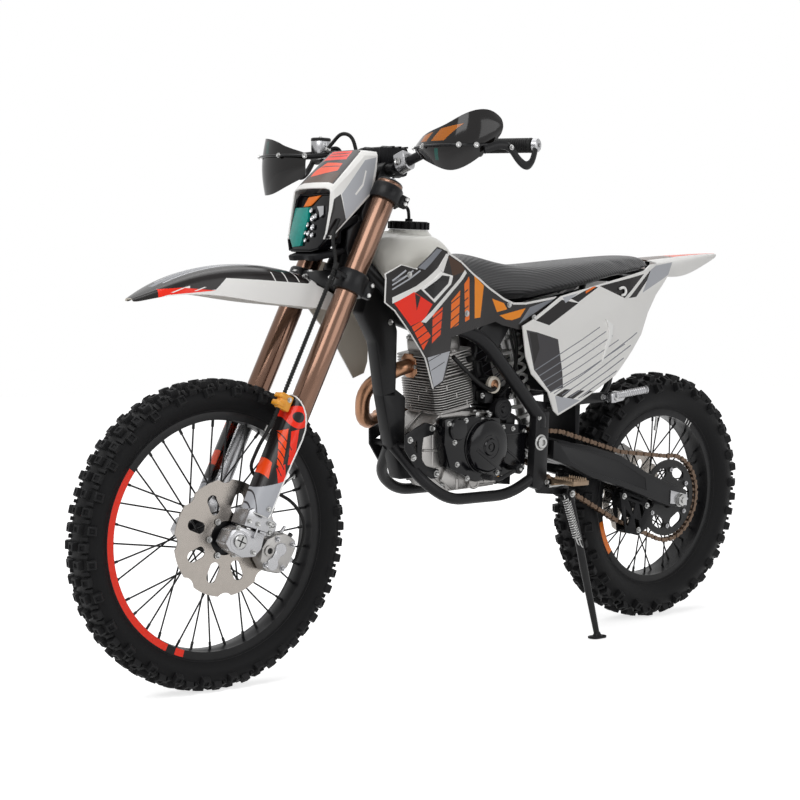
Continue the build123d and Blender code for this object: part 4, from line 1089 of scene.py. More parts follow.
def makeForkTubes():
    at = (leg["v"], leg["y"], 0)
    tube = lathe([(659, 0), (659, 26.4), (661, 27.4), (930, 27.4), (933, 26.6), (1050, 26.6), (1053, 27.2),
        (1240, 27.2), (1243, 26), (1243, 0)], at, upward, 64)
    wiper = lathe([(644, 24.2), (645, 28), (648, 29), (657, 29), (659, 27), (659, 24.2)], at,
        upward, 48, True)
    cap = lathe([(1243, 0), (1243, 29), (1247, 30), (1256, 30), (1259, 27), (1260, 14), (1260, 0)],
        at, upward, 48)
    ring = lathe([(1247, 30.1), (1249, 30.8), (1252, 30.8), (1254, 30.1)], at, upward, 48)
    knob = lathe([(1260, 0), (1260, 10), (1266, 10), (1268, 8), (1268, 0)], at, upward, 24)
    parts = [both(tube), tinted(both(wiper), 1), tinted(both(cap), 1), both(ring), tinted(both(knob), 2)]
    piece("bronzeForkTubes", parts, [bronzeTube, satinBlack, brightSilver], "fork_tubes",
        place=fork, shade=30)


lowerLug = {
    "head": [(-8, 404), (58, 396), (60, 432), (44, 446), (-2, 446)],
    "foot": [(-12, 366), (-6, 400), (60, 392), (80, 376), (82, 344), (64, 333), (28, 331), (-2, 344)],
    "bolts": [(50, 410), (26, 412), (-2, 424), (6, 352), (66, 386)],
    "ear": [(-4, 446), (-42, 436), (-46, 414), (-30, 398), (-6, 398)]}


def makeForkLowers():
    at, axle = (leg["v"], leg["y"], 0), (leg["axleV"], 0, leg["axleU"])
    castings = [lathe([(420, 0), (420, 24), (644, 24), (644, 0)], at, upward, 48),
        lathe([(440, 0), (440, 30), (452, 31), (461, 31), (462, 24)], at, upward, 48),
        plate(lowerLug["head"], 66, 123, 3.5), plate(lowerLug["foot"], 74, 118, 4),
        lathe([(112, 30), (112, 25), (119, 24), (119.5, 19), (117, 18.4), (117, 14)], axle, toLeft, 48),
        plate([(20, 380), (24, 383), (24, 404), (20, 404)], 117.5, 124, 0.6)]
    screws = [bolt((v, 118 if u < 400 else 123, u), toLeft, 4.6, 4) for v, u in lowerLug["bolts"]]
    pinches = [rod((-14, 98, u), (-2, 98, u), 5.5, 16, bevel=1) for u in (352, 376)]
    piece("forkLegCastings", grouped(twins(castings) + [plate(lowerLug["ear"], 78, 94, 2.5)],
        twins(screws + pinches) + bolts(((-30, 427), (-30, 410)), 94, 5.4, 5)), [brightSilver, zincSteel],
        "fork_lowers", place=fork)
    shaft = lathe([(0, 0), (0, 10), (126, 10), (126, 0)], axle, toLeft, 32)
    head = lathe([(117, 0), (117, 15.5), (124, 15.5), (126, 13.5), (126.2, 8), (123, 7), (123, 0)],
        axle, toLeft, 40)
    slots = [block((axle[0] - wide, 125.2, axle[2] - tall), (axle[0] + wide, 126.8, axle[2] + tall))
        for wide, tall in ((1.4, 12), (12, 1.4))]
    piece("frontAxleShaft", grouped(twins([shaft, head]), twins(slots)), [zincSteel, satinBlack],
        "front_axle", place=fork)


guardSpec = {
    "radius": 40,
    "rows": [(431, 6, 78), (446, 4, 84), (500, 4, 86), (560, 3, 86), (620, 0, 86), (644, 2, 86),
        (660, 8, 86), (676, 16, 85), (689, 27, 83), (698, 38, 81), (704, 50, 79), (706, 60, 76)]}


def guardAt(s, u):
    # a place on the wrap: a flat flank, a quarter turn round the leg, a short return inside
    r = guardSpec["radius"]
    if s < 10:
        v, y = s - 10, r
    elif s < 10 + r * pi / 2:
        v, y = r * sin((s - 10) / r), r * cos((s - 10) / r)
    else:
        v, y = r, 10 + r * pi / 2 - s
    return (leg["v"] + v, leg["y"] + y, u)


def makeForkGuards():
    rows = [[guardAt(a + (b - a) * i / 12, u) for i in range(13)] for u, a, b in guardSpec["rows"]]
    shell = refined(facing(lofted(rows), 1), [subdivision(1), wall(3)])
    lip = hose([row[0] for row in rows] + [rows[-1][6]], 1.8, straight=True)
    foot = hose(rows[0], 1.6, straight=True)
    shapes = [ink("red", (6, 566), (20, 556), (40, 628), (26, 640)),
        ink("ember", (28, 540), (42, 548), (58, 620), (46, 632)),
        ink("red", (8, 520), (24, 508), (40, 540), (26, 556)),
        ink("ember", (46, 512), (60, 520), (60, 556), (50, 548)),
        *stripes([(60, 620), (24, 590)], [(60, 560), (24, 528)], 5, 2.2, inks["dark"]),
        {"colour": inks["red"], "ring": (36, 664, 25, 12)},
        ink("pale", (0, 530), (70, 476), (70, 425), (0, 425)),
        *stripes([(60, 480), (40, 425)], [(68, 474), (50, 425)], 2, 1.6, inks["smoke"])]
    graphics = decals("forkGuardGraphics", inks["dark"], shapes, rough=0.22, mottle=0.1)
    clip = [block((60, 104, 664), (92, 122, 700), 3), block((78, 98, 668), (98, 124, 680), 2.5),
        block((78, 98, 686), (98, 124, 697), 2.5)]
    screws = [bolt((70, 122, 690), toLeft, 4, 3), both(bolt((leg["v"] + 4, leg["y"] + 40, 450),
        toLeft, 4.2, 3))]
    piece("forkGuardShells", grouped([both(shell)], [both(lip)], [both(foot)] + screws, clip),
        [graphics, whiteGloss, zincSteel, amberClip], "fork_guards", place=fork, shade=50)


clamps = {
    "levels": [(978, 1026), (1210, 1246)],
    "web": [(42, 84), (42, -84), (2, -84), (-26, -40), (-36, -20), (-36, 20), (-26, 40), (2, 84)],
    "tower": [(-20, 1244), (32, 1244), (30, 1296), (20, 1322), (-4, 1322), (-14, 1296)]}


def makeClamps():
    at = (leg["v"], leg["y"], 0)
    solid, screws = [], [nut((0, 0, 1243), upward, 17, 10)]
    for low, high in clamps["levels"]:
        mid = (low + high) / 2
        ring = lathe([(low, 27.6), (low, 34), (low + 3, 36), (high - 3, 36), (high, 34), (high, 27.6)], at,
            upward, 64, True)
        band = lathe([(mid - 3, 36), (mid - 2, 35.2), (mid + 2, 35.2), (mid + 3, 36)], at, upward, 64)
        ear = slab([(-8, 118), (-30, 124), (-34, 110), (-12, 96)], low + 4, high - 4, 3)
        solid += twins([ring, band, ear]) + [slab(clamps["web"], low, high - 4, 4)]
        screws += [both(rod((-26, 110, u), (-20, 128, u), 5, 16, bevel=1)) for u in (low + 12, high - 12)]
        screws += [bolt((42, y, mid), forward, 6, 5) for y in (-52, 52)]
    for y in (25, -55):
        solid.append(plate(clamps["tower"], y, y + 30, 2.5))
        screws += [bolt((x, y + 15, 1322), upward, 4.6, 4) for x in (-6.4, 18.8)]
    solid += [rod((0, 0, 978), (0, 0, 1250), 15, 32), rod((40, 113, 1002), (79.5, 113, 1002), 5, 16),
        rod((66, 113, 996), (78, 113, 996), 8, 18, bevel=1)]
    piece("tripleClampPair", grouped(solid, screws), [frameGrey, zincSteel],
        "triple_clamps", place=fork)


bars = {"end": (176, 405, 1224), "rise": (272, 190, 1224), "foot": (300, 78, 1176)}


def makeHandlebar():
    end, rise, foot = (Vector(bars[k]) for k in ("end", "rise", "foot"))
    twin = [Vector((p.x, -p.y, p.z)) for p in (foot, rise, end)]
    tube = bentTube([end, rise, foot] + twin, 60, 11.1, 8)
    middle = crossRod(foot.x, foot.z, 62, -62, 14.3, 40)
    taper = rod((foot.x, 62, foot.z), foot, 14.3, 32, 11.3)
    piece("bentHandlebar", [tube, middle, both(taper)], [satinBlack], "handlebar",
        place=steered, shade=50)
    pad = [block((246, -62, 1160), (310, 62, 1229), 9)]
    pad += [block((250 + 20 * i, -63, 1226), (252.5 + 20 * i, 63, 1230.2), 0.6) for i in range(3)]
    straps = [block((244, y - 8, 1158), (312, y + 8, 1231), 8.6) for y in (-34, 34)]
    piece("barPadBlock", grouped(pad, straps), [mouldedBlack, satinBlack], "bar_pad",
        place=steered)


def makeGrips():
    end, rise = Vector(bars["end"]), Vector(bars["rise"])
    along = (end - rise).normalized()
    start = rise + (end - rise) * 0.46
    length = (end - start).length
    profile = [(0, 11.4), (0, 23), (1.5, 24), (4, 24), (5.5, 22), (7, 17.5)]
    rib = 9
    while rib < length - 4:
        profile += [(rib, 15.4), (rib + 1, 16.6), (rib + 3.2, 16.6), (rib + 4.2, 15.4)]
        rib += 5.4
    profile += [(length - 2, 16.8), (length + 2, 16.8), (length + 4, 15.4), (length + 4, 11.4)]
    grip = lathe(profile, start, along, 40, True)
    piece("ribbedGrips", [both(grip)], [hoseRubber], "grips", place=steered)


def off(base, x, y, z):
    return base + Vector((x, y, z))


def leverBlade(base, side):
    # a slim curved blade with a ball at its end
    points = [off(base, x, y * side, z) for x, y, z in ((44, 0, -4), (53, 24, -5), (54, 60, -6),
        (44, 104, -7), (30, 143, -8))]
    blade = toBmesh(hose(points, 5.6))
    bmesh.ops.scale(blade, verts=blade.verts, vec=(1, 1, 1.5), space=shift(-(base + Vector((44, 0, -6)))))
    ball = bmesh.new()
    bmesh.ops.create_uvsphere(ball, u_segments=16, v_segments=10, radius=8.5)
    bmesh.ops.translate(ball, verts=ball.verts, vec=points[-1])
    return [blade, ball]


def makeLevers():
    end, rise, foot = (Vector(bars[k]) for k in ("end", "rise", "foot"))
    along, slope = (end - rise).normalized(), (rise - foot).normalized()
    base = rise + (end - rise) * 0.22
    clampRing = [(-16, 11.4), (-16, 18), (-14, 19.5), (14, 19.5), (16, 18), (16, 11.4)]
    # the clutch side, with a second silver clamp on the bar's inner slope
    perch = [lathe(clampRing, base, along, 32, True),
        block(off(base, 10, -30, -18), off(base, 56, 16, 14), 5),
        lathe([(0, 0), (0, 19), (30, 20), (34, 17), (34, 0)], off(base, 34, -34, -20), upward, 36),
        rod(off(base, 44, 0, -14), off(base, 44, 0, 8), 9, 24, bevel=1.5),
        rod(off(base, 30, -18, -2), off(base, 30, -44, -2), 7, 20, bevel=1.5),
        lathe([(14, 11.4), (14, 18), (16, 20), (44, 20), (46, 18), (46, 11.4)], foot, slope, 32, True),
        moved(block((-19, -24, 14), (19, 2, 46), 3), aimed(foot, slope))]
    bits = [bolt(off(foot + slope * 30, 20, 0, 4), (1, 0, 0.2), 6, 4),
        bolt(off(base, 44, 0, 8), upward, 5, 4), bolt(off(base, 20, 0, 18), upward, 4, 4)]
    bits += [rod(off(base, 30, y, -2), off(base, 30, y - 4, -2), 9.5, 20, bevel=0.8)
        for y in (-22, -29, -36)]
    piece("clutchLeverPerch", grouped(perch, leverBlade(base, 1), bits),
        [brightSilver, satinBlack, zincSteel], "clutch_lever", place=steered)

    across = Vector((along.x, -along.y, along.z))
    base = Vector((base.x, -base.y, base.z))
    pot = off(base, 46, 16, 0)
    perch = [lathe(clampRing, base, across, 32, True),
        block(off(base, 12, -10, -12), off(base, 52, 30, 6), 5),
        lathe([(-4, 0), (-4, 21), (0, 23), (26, 24), (28, 23), (28, 0)], pot, upward, 48),
        rod(off(base, 44, 0, -14), off(base, 44, 0, 6), 9, 24, bevel=1.5)]
    lid = lathe([(28, 0), (28, 23.5), (29, 24.5), (34, 24.5), (36, 22), (36.5, 0)], pot, upward, 48)
    bits = [nut(off(pot, 0, 24, 8), toLeft, 8, 8), bolt(off(pot, 10, 12, 36), upward, 3, 2),
        bolt(off(pot, -10, -12, 36), upward, 3, 2)]
    pipe = hose([off(pot, *p) for p in ((0, 34, 12), (-2, 50, 26), (-10, 70, 46), (-24, 92, 40),
        (-30, 104, 8), (-34, 108, -30))], 4.6)
    piece("brakeMasterCylinder", grouped(perch, leverBlade(base, -1) + [lid], bits, [pipe]),
        [brightSilver, satinBlack, zincSteel, hoseRubber], "brake_master", place=steered)


guardPath = {
    "across": [(345, 215), (362, 245), (374, 280), (377, 315), (372, 350), (360, 380), (333, 402),
        (297, 412), (268, 412)],
    "left": [(1199, 1232), (1192, 1238), (1183, 1246), (1172, 1253), (1160, 1263), (1163, 1280),
        (1182, 1294), (1212, 1296), (1240, 1280)],
    "right": [(1165, 1222), (1150, 1230), (1134, 1242), (1122, 1256), (1120, 1260), (1122, 1262),
        (1126, 1264), (1136, 1260), (1152, 1246)],
    "brace": [(318, 411, 1206), (290, 419, 1214), (258, 427, 1214), (232, 431, 1192), (206, 431, 1184),
        (184, 427, 1198), (172, 417, 1222)]}


def makeHandguard(side, edges):
    # one side: the shell, its seam moulding, the brace behind it, the bar plug and the inner arm
    places = guardPath["across"]
    rows, seam = [], []
    for i, ((x, y), (low, high)) in enumerate(zip(places, edges)):
        before, after = places[max(0, i - 1)], places[min(len(places) - 1, i + 1)]
        along = Vector((after[0] - before[0], after[1] - before[1], 0)).normalized()
        outward = Vector((along.y, -along.x, 0))
        row = [Vector((x, y, low + (high - low) * t / 6)) + outward * (sin(pi * t / 6) * 9 - 4)
            for t in range(7)]
        middle = Vector((x, y, min(high - 8, max(low + 6, 1216)))) + outward * 6.5
        rows.append([(p.x, p.y * side, p.z) for p in row])
        seam.append((middle.x, middle.y * side, middle.z))
    shell = refined(facing(lofted(rows), 0), [subdivision(2), wall(3.2)])
    screws = [bolt((258, 434 * side, 1214), (0, side, 0), 4, 3)]
    for i in (0, 2, 5, 6):
        x, y = places[i]
        outward = Vector((x - 250, (y - 290) * side, 0))
        screws.append(bolt(Vector(seam[i]) + outward.normalized() * 1.5, outward, 4.2, 3))
    brace = toBmesh(hose([(x, y * side, z) for x, y, z in guardPath["brace"]], 6.5))
    bmesh.ops.scale(brace, verts=brace.verts, vec=(1, 0.8, 1.5), space=shift((0, -424 * side, -1205)))
    end, rise = Vector(bars["end"]), Vector(bars["rise"])
    along = (end - rise).normalized()
    plug = lathe([(5, 0), (5, 12), (7, 15), (18, 15), (20, 12.5), (20, 5), (17, 4.4), (17, 0)],
        end, along, 32)
    plug = moved(plug, Matrix.Diagonal((1, side, 1, 1)))
    bmesh.ops.recalc_face_normals(plug, faces=plug.faces)
    arm = bentTube([(x, y * side, z) for x, y, z in ((345, 217, 1212), (318, 208, 1214),
        (270, 196, 1224))], 12, 7)
    collar = lathe([(-9, 11.3), (-9, 17), (9, 17), (9, 11.3)], (263, 210 * side, 1224),
        (along.x, along.y * side, 0), 28, True)
    return grouped([shell], [hose(seam[:-1], 3.2)], screws, [brace, arm, collar], [plug])


def makeHandguards():
    amber, jade, pine = (0.42, 0.12, 0.008), (0.0, 0.07, 0.055), (0.0, 0.05, 0.04)
    patches = [(amber, [(305, 1226), (345, 1226), (385, 1262), (330, 1252)]),
        (amber, [(258, 1226), (286, 1226), (306, 1246), (270, 1240)]),
        (jade, [(318, 1184), (329, 1184), (329, 1210), (318, 1210)]),
        (pine, [(-330, 1222), (-342, 1222), (-350, 1250), (-336, 1254)])]
    shapes = [{"colour": colour, "axis": "front", "poly": corners} for colour, corners in patches]
    paint = finish("guardShellPaint", (0.007, 0.006, 0.006), rough=0.12, mottle=0.15, grain=0.03,
        roughSpread=0.04, coat=0.1, specular=0.25, shapes=shapes)
    piece("wingHandguards", makeHandguard(1, guardPath["left"]) + makeHandguard(-1, guardPath["right"]),
        [paint, glossBlack, zincSteel, frameGrey, brightSilver], "handguards",
        place=steered, shade=50)


mask = {
    "rows": [[(346, 0, 1216), (346, 44, 1216), (346, 68, 1213), (349, 76, 1204), (352, 78, 1176),
        (362, 79, 1122), (366, 78, 1116)], [(384, 0, 1217), (384, 44, 1217), (384, 62, 1213),
        (386, 75, 1202), (386, 79, 1150), (394, 80, 1096), (396, 79, 1088)],
        [(432, 0, 1172), (432, 46, 1171), (432, 68, 1166), (433, 77, 1156), (435, 80, 1110),
        (442, 80, 1053), (442, 78, 1045)], [(470, 0, 1136), (470, 48, 1135), (470, 70, 1130),
        (471, 76, 1121), (468, 79, 1080), (478, 78, 1022), (478, 75, 1010)],
        [(479, 0, 1127), (479, 50, 1126), (479, 68, 1122), (479, 72, 1116), (483, 75, 1076),
        (492, 74, 1020), (495, 71, 1009)]],
    "shapes": [ink("pale", (451, 1112), (385, 1192), (353, 1200), (370, 1120), (439, 1054)),
        ink("dark", (489, 1018), (471, 1101), (454, 1112), (439, 1054), (474, 1018)),
        ink("white", (381, 1168), (385, 1169), (395, 1136), (391, 1133)),
        ink("white", (391, 1133), (395, 1137), (415, 1114), (412, 1111)),
        ink("dark", (383, 58), (383, -62), (466, -70), (466, 66), axis="top"),
        ink("brown", (440, 56), (440, -56), (466, -60), (466, 60), axis="top"),
        ink("red", (386, 30), (386, -50), (408, -56), (408, 34), axis="top"),
        ink("dark", (391, 26), (391, -42), (393, -42), (393, 26), axis="top"),
        ink("dark", (398, 28), (398, -44), (400, -44), (400, 28), axis="top"),
        ink("ember", (418, 34), (414, -30), (436, -50), (450, -46), (436, 40), axis="top"),
        ink("dark", (424, 36), (424, -36), (426, -36), (426, 36), axis="top")],
    "bracket": [(372, 1119), (333, 1128), (338, 1072), (352, 1050), (387, 1051), (392, 1069)],
    "tongue": [(427, 1032), (387, 1059), (392, 1024), (404, 990), (415, 956), (429, 992)]}


def makeMask():
    shell = facing(lofted([overTop(row) for row in mask["rows"]]), 2)
    shell = refined(shell, [wall(3.5), rounded(2.2, 3, 14)])
    arms = [plate(mask["bracket"], 54, 76, 3), plate(mask["tongue"], 64, 71, 2.5)]
    screws = [bolt((352, 76, 1110), toLeft, 7, 4), bolt((488, 72.5, 1018), (0.3, 1, 0), 3.2, 2)]
    piece("numberMaskShell", grouped([shell], twins(arms), twins(screws),
        [both(crossRod(350, 1082, 75, 76.6, 6, 20))]),
        [decals("maskGraphics", inks["white"], mask["shapes"]), frameGrey, zincSteel, glossBlack],
        "headlight_mask", place=steered, shade=50)


def lampX(z, back=0):
    return 474 + (1118 - z) * 0.242 - back


def lampSheet(outline, low, high, bevel=0):
    # a plate in the lamp's slanting face, drawn as (left, up), between two depths behind it
    part = plate([(y, z) for y, z in outline], low, high, bevel)
    for v in part.verts:
        left, depth, up = v.co
        v.co = (lampX(up) - depth, left, up)
    bmesh.ops.recalc_face_normals(part, faces=part.faces)
    return part


lamp = {
    "bezel": [(-64, 1116), (64, 1116), (72, 1108), (76, 1012), (50, 986), (20, 980), (-60, 980),
        (-76, 1008), (-73, 1106)],
    "teal": [(-66, 1082), (-14, 1083), (-8, 1056), (-12, 1027), (-15, 994), (-45, 991), (-67, 1016)],
    "strip": [(-28, 1106), (19, 1110), (-12, 1086), (-40, 1084)],
    "hook": [(16, 1085), (44, 1086), (50, 1066), (38, 1058), (30, 1072)],
    "edging": [(-68, 1102), (-60, 1112), (60, 1112), (67, 1104), (70, 1014), (46, 990), (18, 985),
        (-57, 985), (-71, 1010), (-68, 1102)],
    "chin": [(500, 0), (508, 30), (506, 52), (470, 66), (432, 70), (432, -70), (470, -66),
        (506, -52), (508, -30)],
    "beads": [(-21, 1058, 6), (8, 1056, 7), (-5, 1041, 6), (-8, 1023, 5), (-3, 1074, 6), (18, 1060, 7),
        (16, 1036, 7), (4, 1022, 6), (20, 1018, 6), (-2, 1006, 5), (-20, 1036, 5), (-18, 1010, 5)]}


def makeLamp():
    teal = finish("tealLens", (0.0, 0.26, 0.22), rough=0.12, mottle=0.35, mottleScale=90, grain=0.5,
        grainScale=420, coat=0.1, specular=0.3)
    chrome = finish("lampChrome", (0.4, 0.4, 0.41), rough=0.16, metal=1.0, mottle=0.1, mottleScale=50,
        grain=0.1, roughSpread=0.03)
    bright = [lampSheet(lamp["hook"], 5, 13, 2)]
    for y, z, r in lamp["beads"]:
        bright.append(lathe([(0, 0), (1.5, r * 0.5), (5, r), (6.5, r), (5.5, r * 0.9), (3, 0)],
            (lampX(z, 13), y, z), (1, 0, 0.24), 16))
        bulb = bmesh.new()
        bmesh.ops.create_icosphere(bulb, subdivisions=2, radius=r * 0.42)
        bmesh.ops.translate(bulb, verts=bulb.verts, vec=(lampX(z, 8), y, z))
        bright.append(bulb)
    chin = slab(lamp["chin"], 968, 982, 4)
    dark = [hose([(lampX(z, 11), y * 1.06, z) for y, z in lamp["edging"]], 2.6, straight=True),
        moved(chin, shift((470, 0, 975)) @ turned(14, "Y") @ shift((-470, 0, -975))),
        plate([(432, 1000), (432, 1104), (462, 1104), (470, 1000)], -55, 55, 5),
        both(plate([(396, 1068), (452, 1040), (452, 1026), (394, 1052)], 56, 66, 2))]
    piece("ledHeadlamp", grouped([lampSheet(lamp["bezel"], 12, 44, 4)],
        [lampSheet(lamp["teal"], 5, 14, 1.5)], [lampSheet(lamp["strip"], 9, 13, 0.8)], bright, dark),
        [glossBlack, teal, orangePaint, chrome, mouldedBlack], "headlight", place=steered)


caliper = {
    "body": [(-22, 372), (-26, 394), (-44, 412), (-66, 424), (-100, 420), (-108, 402), (-106, 356),
        (-92, 336), (-54, 328), (-30, 344)],
    "bridge": [(-86, 345), (-104, 356), (-106, 402), (-98, 416), (-82, 410)],
    "arm": [(-44, 384), (-44, 414), (-30, 436), (-16, 436), (-16, 398)],
    "eye": [(-68, 386, 15), (-62, 349, 15)]}


def makeFrontCaliper():
    silver = [plate(caliper["body"], 66, 104, 6), plate(caliper["body"], 43, 53, 4),
        plate(caliper["bridge"], 48, 70, 3), plate(caliper["arm"], 78, 92, 2),
        lathe([(103, 0), (103, 12), (109, 12), (110, 10.5), (110, 7), (104, 6.6), (104, 0)], (-40, 0, 372),
        toLeft, 28)]
    silver += [rod((-96 - 4 * i, 78, 392 - 22 * i), (-110 - 3 * i, 78, 394 - 22 * i), 6.5, 18, bevel=1.2)
        for i in range(2)]
    bright = [lathe([(103, 0), (103, r), (107, r), (108.4, r - 1.6), (108.4, 0)], (v, 0, u), toLeft, 32)
        for v, u, r in caliper["eye"]]
    bright += [plate([(-76, 384), (-56, 382), (-52, 352), (-70, 352)], 103, 108.3, 1),
        rod((-66, 84, 420), (-70, 84, 440), 4.5, 16, 3.2, bevel=0.8),
        nut((-108, 92, 376), (-1, 0, 0), 7, 6)]
    bright += bolts(((-46, 340), (-92, 350), (-94, 408), (-50, 404)), 104, 4.8, 5)
    dark = [lathe([(104, 0), (104, 7), (105.5, 7), (105.5, 0)], (-40, 0, 372), toLeft, 24),
        rod((-84, 92, 416), (-88, 92, 430), 5.5, 16, bevel=1)]
    piece("twinPistonCaliper", grouped(silver, bright, dark), [castSilver, brightSilver, glossBlack],
        "front_caliper", place=fork)


brakeLine = [(104, 84, 1120), (112, 96, 1070), (84, 113, 1020), (84, 113, 620), (88, 104, 575),
    (64, 65, 520), (-10, 64, 502), (-66, 88, 497), (-112, 92, 466), (-126, 92, 425), (-126, 92, 376),
    (-108.3, 92, 376)]


def makeBrakeLine():
    line = bentTube(brakeLine, 26, 4, 4)
    ring = toMesh(lathe([(-1.4, 3.8), (-1.4, 5.2), (1.4, 5.2), (1.4, 3.8)], (0, 0, 0), upward, 16, True))
    places = [shift((84, 113, u)) for u in range(634, 1008, 7) if not 664 < u < 702]
    sleeve = [lathe([(0, 4), (0, 6), (16, 6), (16, 4)], (84, 113, u), upward, 20, True)
        for u in (616, 1004)]
    piece("ribbedBrakeLine", [line, stamped(ring, places)] + sleeve, [hoseRubber],
        "front_brake_hose", place=fork, shade=50)


makeForkTubes()
makeForkLowers()
makeForkGuards()
makeClamps()
makeHandlebar()
makeGrips()
makeLevers()
makeHandguards()
makeMask()
makeLamp()
makeFrontCaliper()
makeBrakeLine()
print("front end ready")


def coil(start, end, radius, wire, turns, sides=2):
    start, end = Vector(start), Vector(end)
    count = int(turns * 12)
    length = (end - start).length
    spiral = [(radius * cos(2 * pi * i / 12), radius * sin(2 * pi * i / 12), length * i / count)
        for i in range(count + 1)]
    return moved(hose(spiral, wire, straight=True, sides=sides), aimed(start, end - start))


def cutPlate(outline, holes, low, high, bevel):
    # a flat sheet with windows
    sheet = toMesh(plate(outline, low, high))
    windows = toMesh(joined([plate(hole, low - 5, high + 5) for hole in holes]))
    return refined(sheet, [cutBy(windows), rounded(bevel, 2, 40)])


# frame and rear end
frameSpec = {
    "gusset": [(395, 945), (345, 1000), (300, 985), (225, 800), (222, 640), (262, 640), (290, 770),
        (338, 842), (318, 891), (378, 920)],
    "down": [(264, 650), (222, 660), (190, 640), (188, 545), (150, 440), (200, 440), (240, 560)],
    "spar": [(330, 14, 950), (236, 62, 846), (28, 102, 792), (-186, 105, 585), (-186, 105, 560)],
    "cradle": [(215, 10, 520), (178, 80, 440), (105, 95, 394), (-100, 95, 394), (-186, 105, 440)],
    "upright": [(-162, 600), (-210, 600), (-210, 430), (-190, 400), (-160, 410)],
    "tab": [(34, 800), (-26, 738), (-84, 822), (-84, 852), (-40, 852)],
    "foot": [(-170, 430), (-212, 430), (-300, 412), (-300, 380), (-190, 392)],
    "hanger": [(230, 556), (167, 582), (137, 574), (140, 552), (172, 546), (178, 498), (160, 476),
        (118, 466), (122, 446), (140, 444), (192, 470), (228, 519)],
    "hangerHole": [(192, 541), (190, 508), (211, 531)],
    "hangerBolts": [(146, 567), (216, 542), (203, 499), (126, 456)]}


def makeFrame():
    spec = frameSpec
    head = moved(lathe([(1027, 15.2), (1027, 31), (1031, 33), (1043, 33), (1047, 29.5), (1185, 29.5),
        (1189, 33), (1203, 33), (1209, 31), (1209, 15.2)], (0, 0, 0), upward, 56, True), forkPlace)
    parts = [head, plate(spec["gusset"], -20, 20, 5), plate(spec["down"], -20, 20, 5),
        both(bentTube(spec["spar"], 60, 17, 8)), both(bentTube(spec["cradle"], 50, 14, 7)),
        both(plate(spec["upright"], 92, 118, 4)), both(plate(spec["tab"], 85, 95.5, 2)),
        both(plate(spec["foot"], 99, 111, 2)), both(plate([(-180, 596), (-180, 626), (-210, 622),
        (-210, 596)], 91, 103, 1.5)), crossRod(208, 524, -67.5, 67.5, 8, 24)]
    parts.append(both(cutPlate(spec["hanger"], [spec["hangerHole"]], 62.6, 67.8, 0.9)))
    silver = [bolt((x, 67.8, z), toLeft, 5.5, 5) for x, z in spec["hangerBolts"]]
    silver += bolts(((300, 955), (274, 890), (250, 820)), 20, 5, 4)
    silver.append(lathe([(117, 0), (117, 20), (120, 20), (121, 16), (127, 15), (128.5, 13), (128.5, 7.5),
        (124, 6.5), (124, 0)], (-180, 0, 523), toLeft, 40))
    silver.append(bolt((-216, 111, 420), toLeft, 5, 4))
    silver.append(bolt((-172, 118, 585), toLeft, 4, 3))
    parts.append(crossRod(-180, 523, -117, 117, 8.5, 24))
    piece("cradleFrame", grouped(parts, twins(silver)), [frameGrey, zincSteel], "main_frame")


def makeSubframe():
    rails = [both(bentTube([(-60, 74, 838), (-250, 74, 868), (-560, 70, 930), (-668, 62, 951)], 60, 11, 6)),
        both(bentTube([(-210.9, 97, 612), (-300, 97, 616), (-440, 97, 627), (-520, 74, 915)], 50, 9, 6)),
        crossRod(-540, 932.1, -72, 72, 10, 24), crossRod(-70, 859.4, -74, 74, 12, 24),
        crossRod(-655, 949, -62, 62, 10, 24), crossRod(-150, 853, -76, 76, 11, 24),
        both(rod((-655, 30, 949), (-655, 30, 981), 6, 16)),
        both(plate([(-222, 634), (-426, 641), (-436, 616), (-228, 606)], 98, 107, 2))]
    screws = [both(bolt((x, 107, z), toLeft, 5, 4)) for x, z in ((-236, 620), (-416, 628))]
    piece("rearSubframe", grouped(rails, screws), [frameGrey, zincSteel], "subframe")


arm = {
    "outline": [(-236, 525), (-377, 503), (-494, 473), (-609, 419), (-715, 380), (-775, 362), (-775, 312),
        (-706, 320), (-501, 389), (-383, 420), (-306, 453), (-236, 476)],
    "recess": [(-262, 509), (-375, 488), (-488, 458), (-596, 406), (-604, 372), (-500, 404), (-380, 434),
        (-300, 468)],
    "cross": [(-160, 540), (-236, 525), (-335, 502), (-335, 448), (-290, 462), (-236, 478), (-160, 505)]}


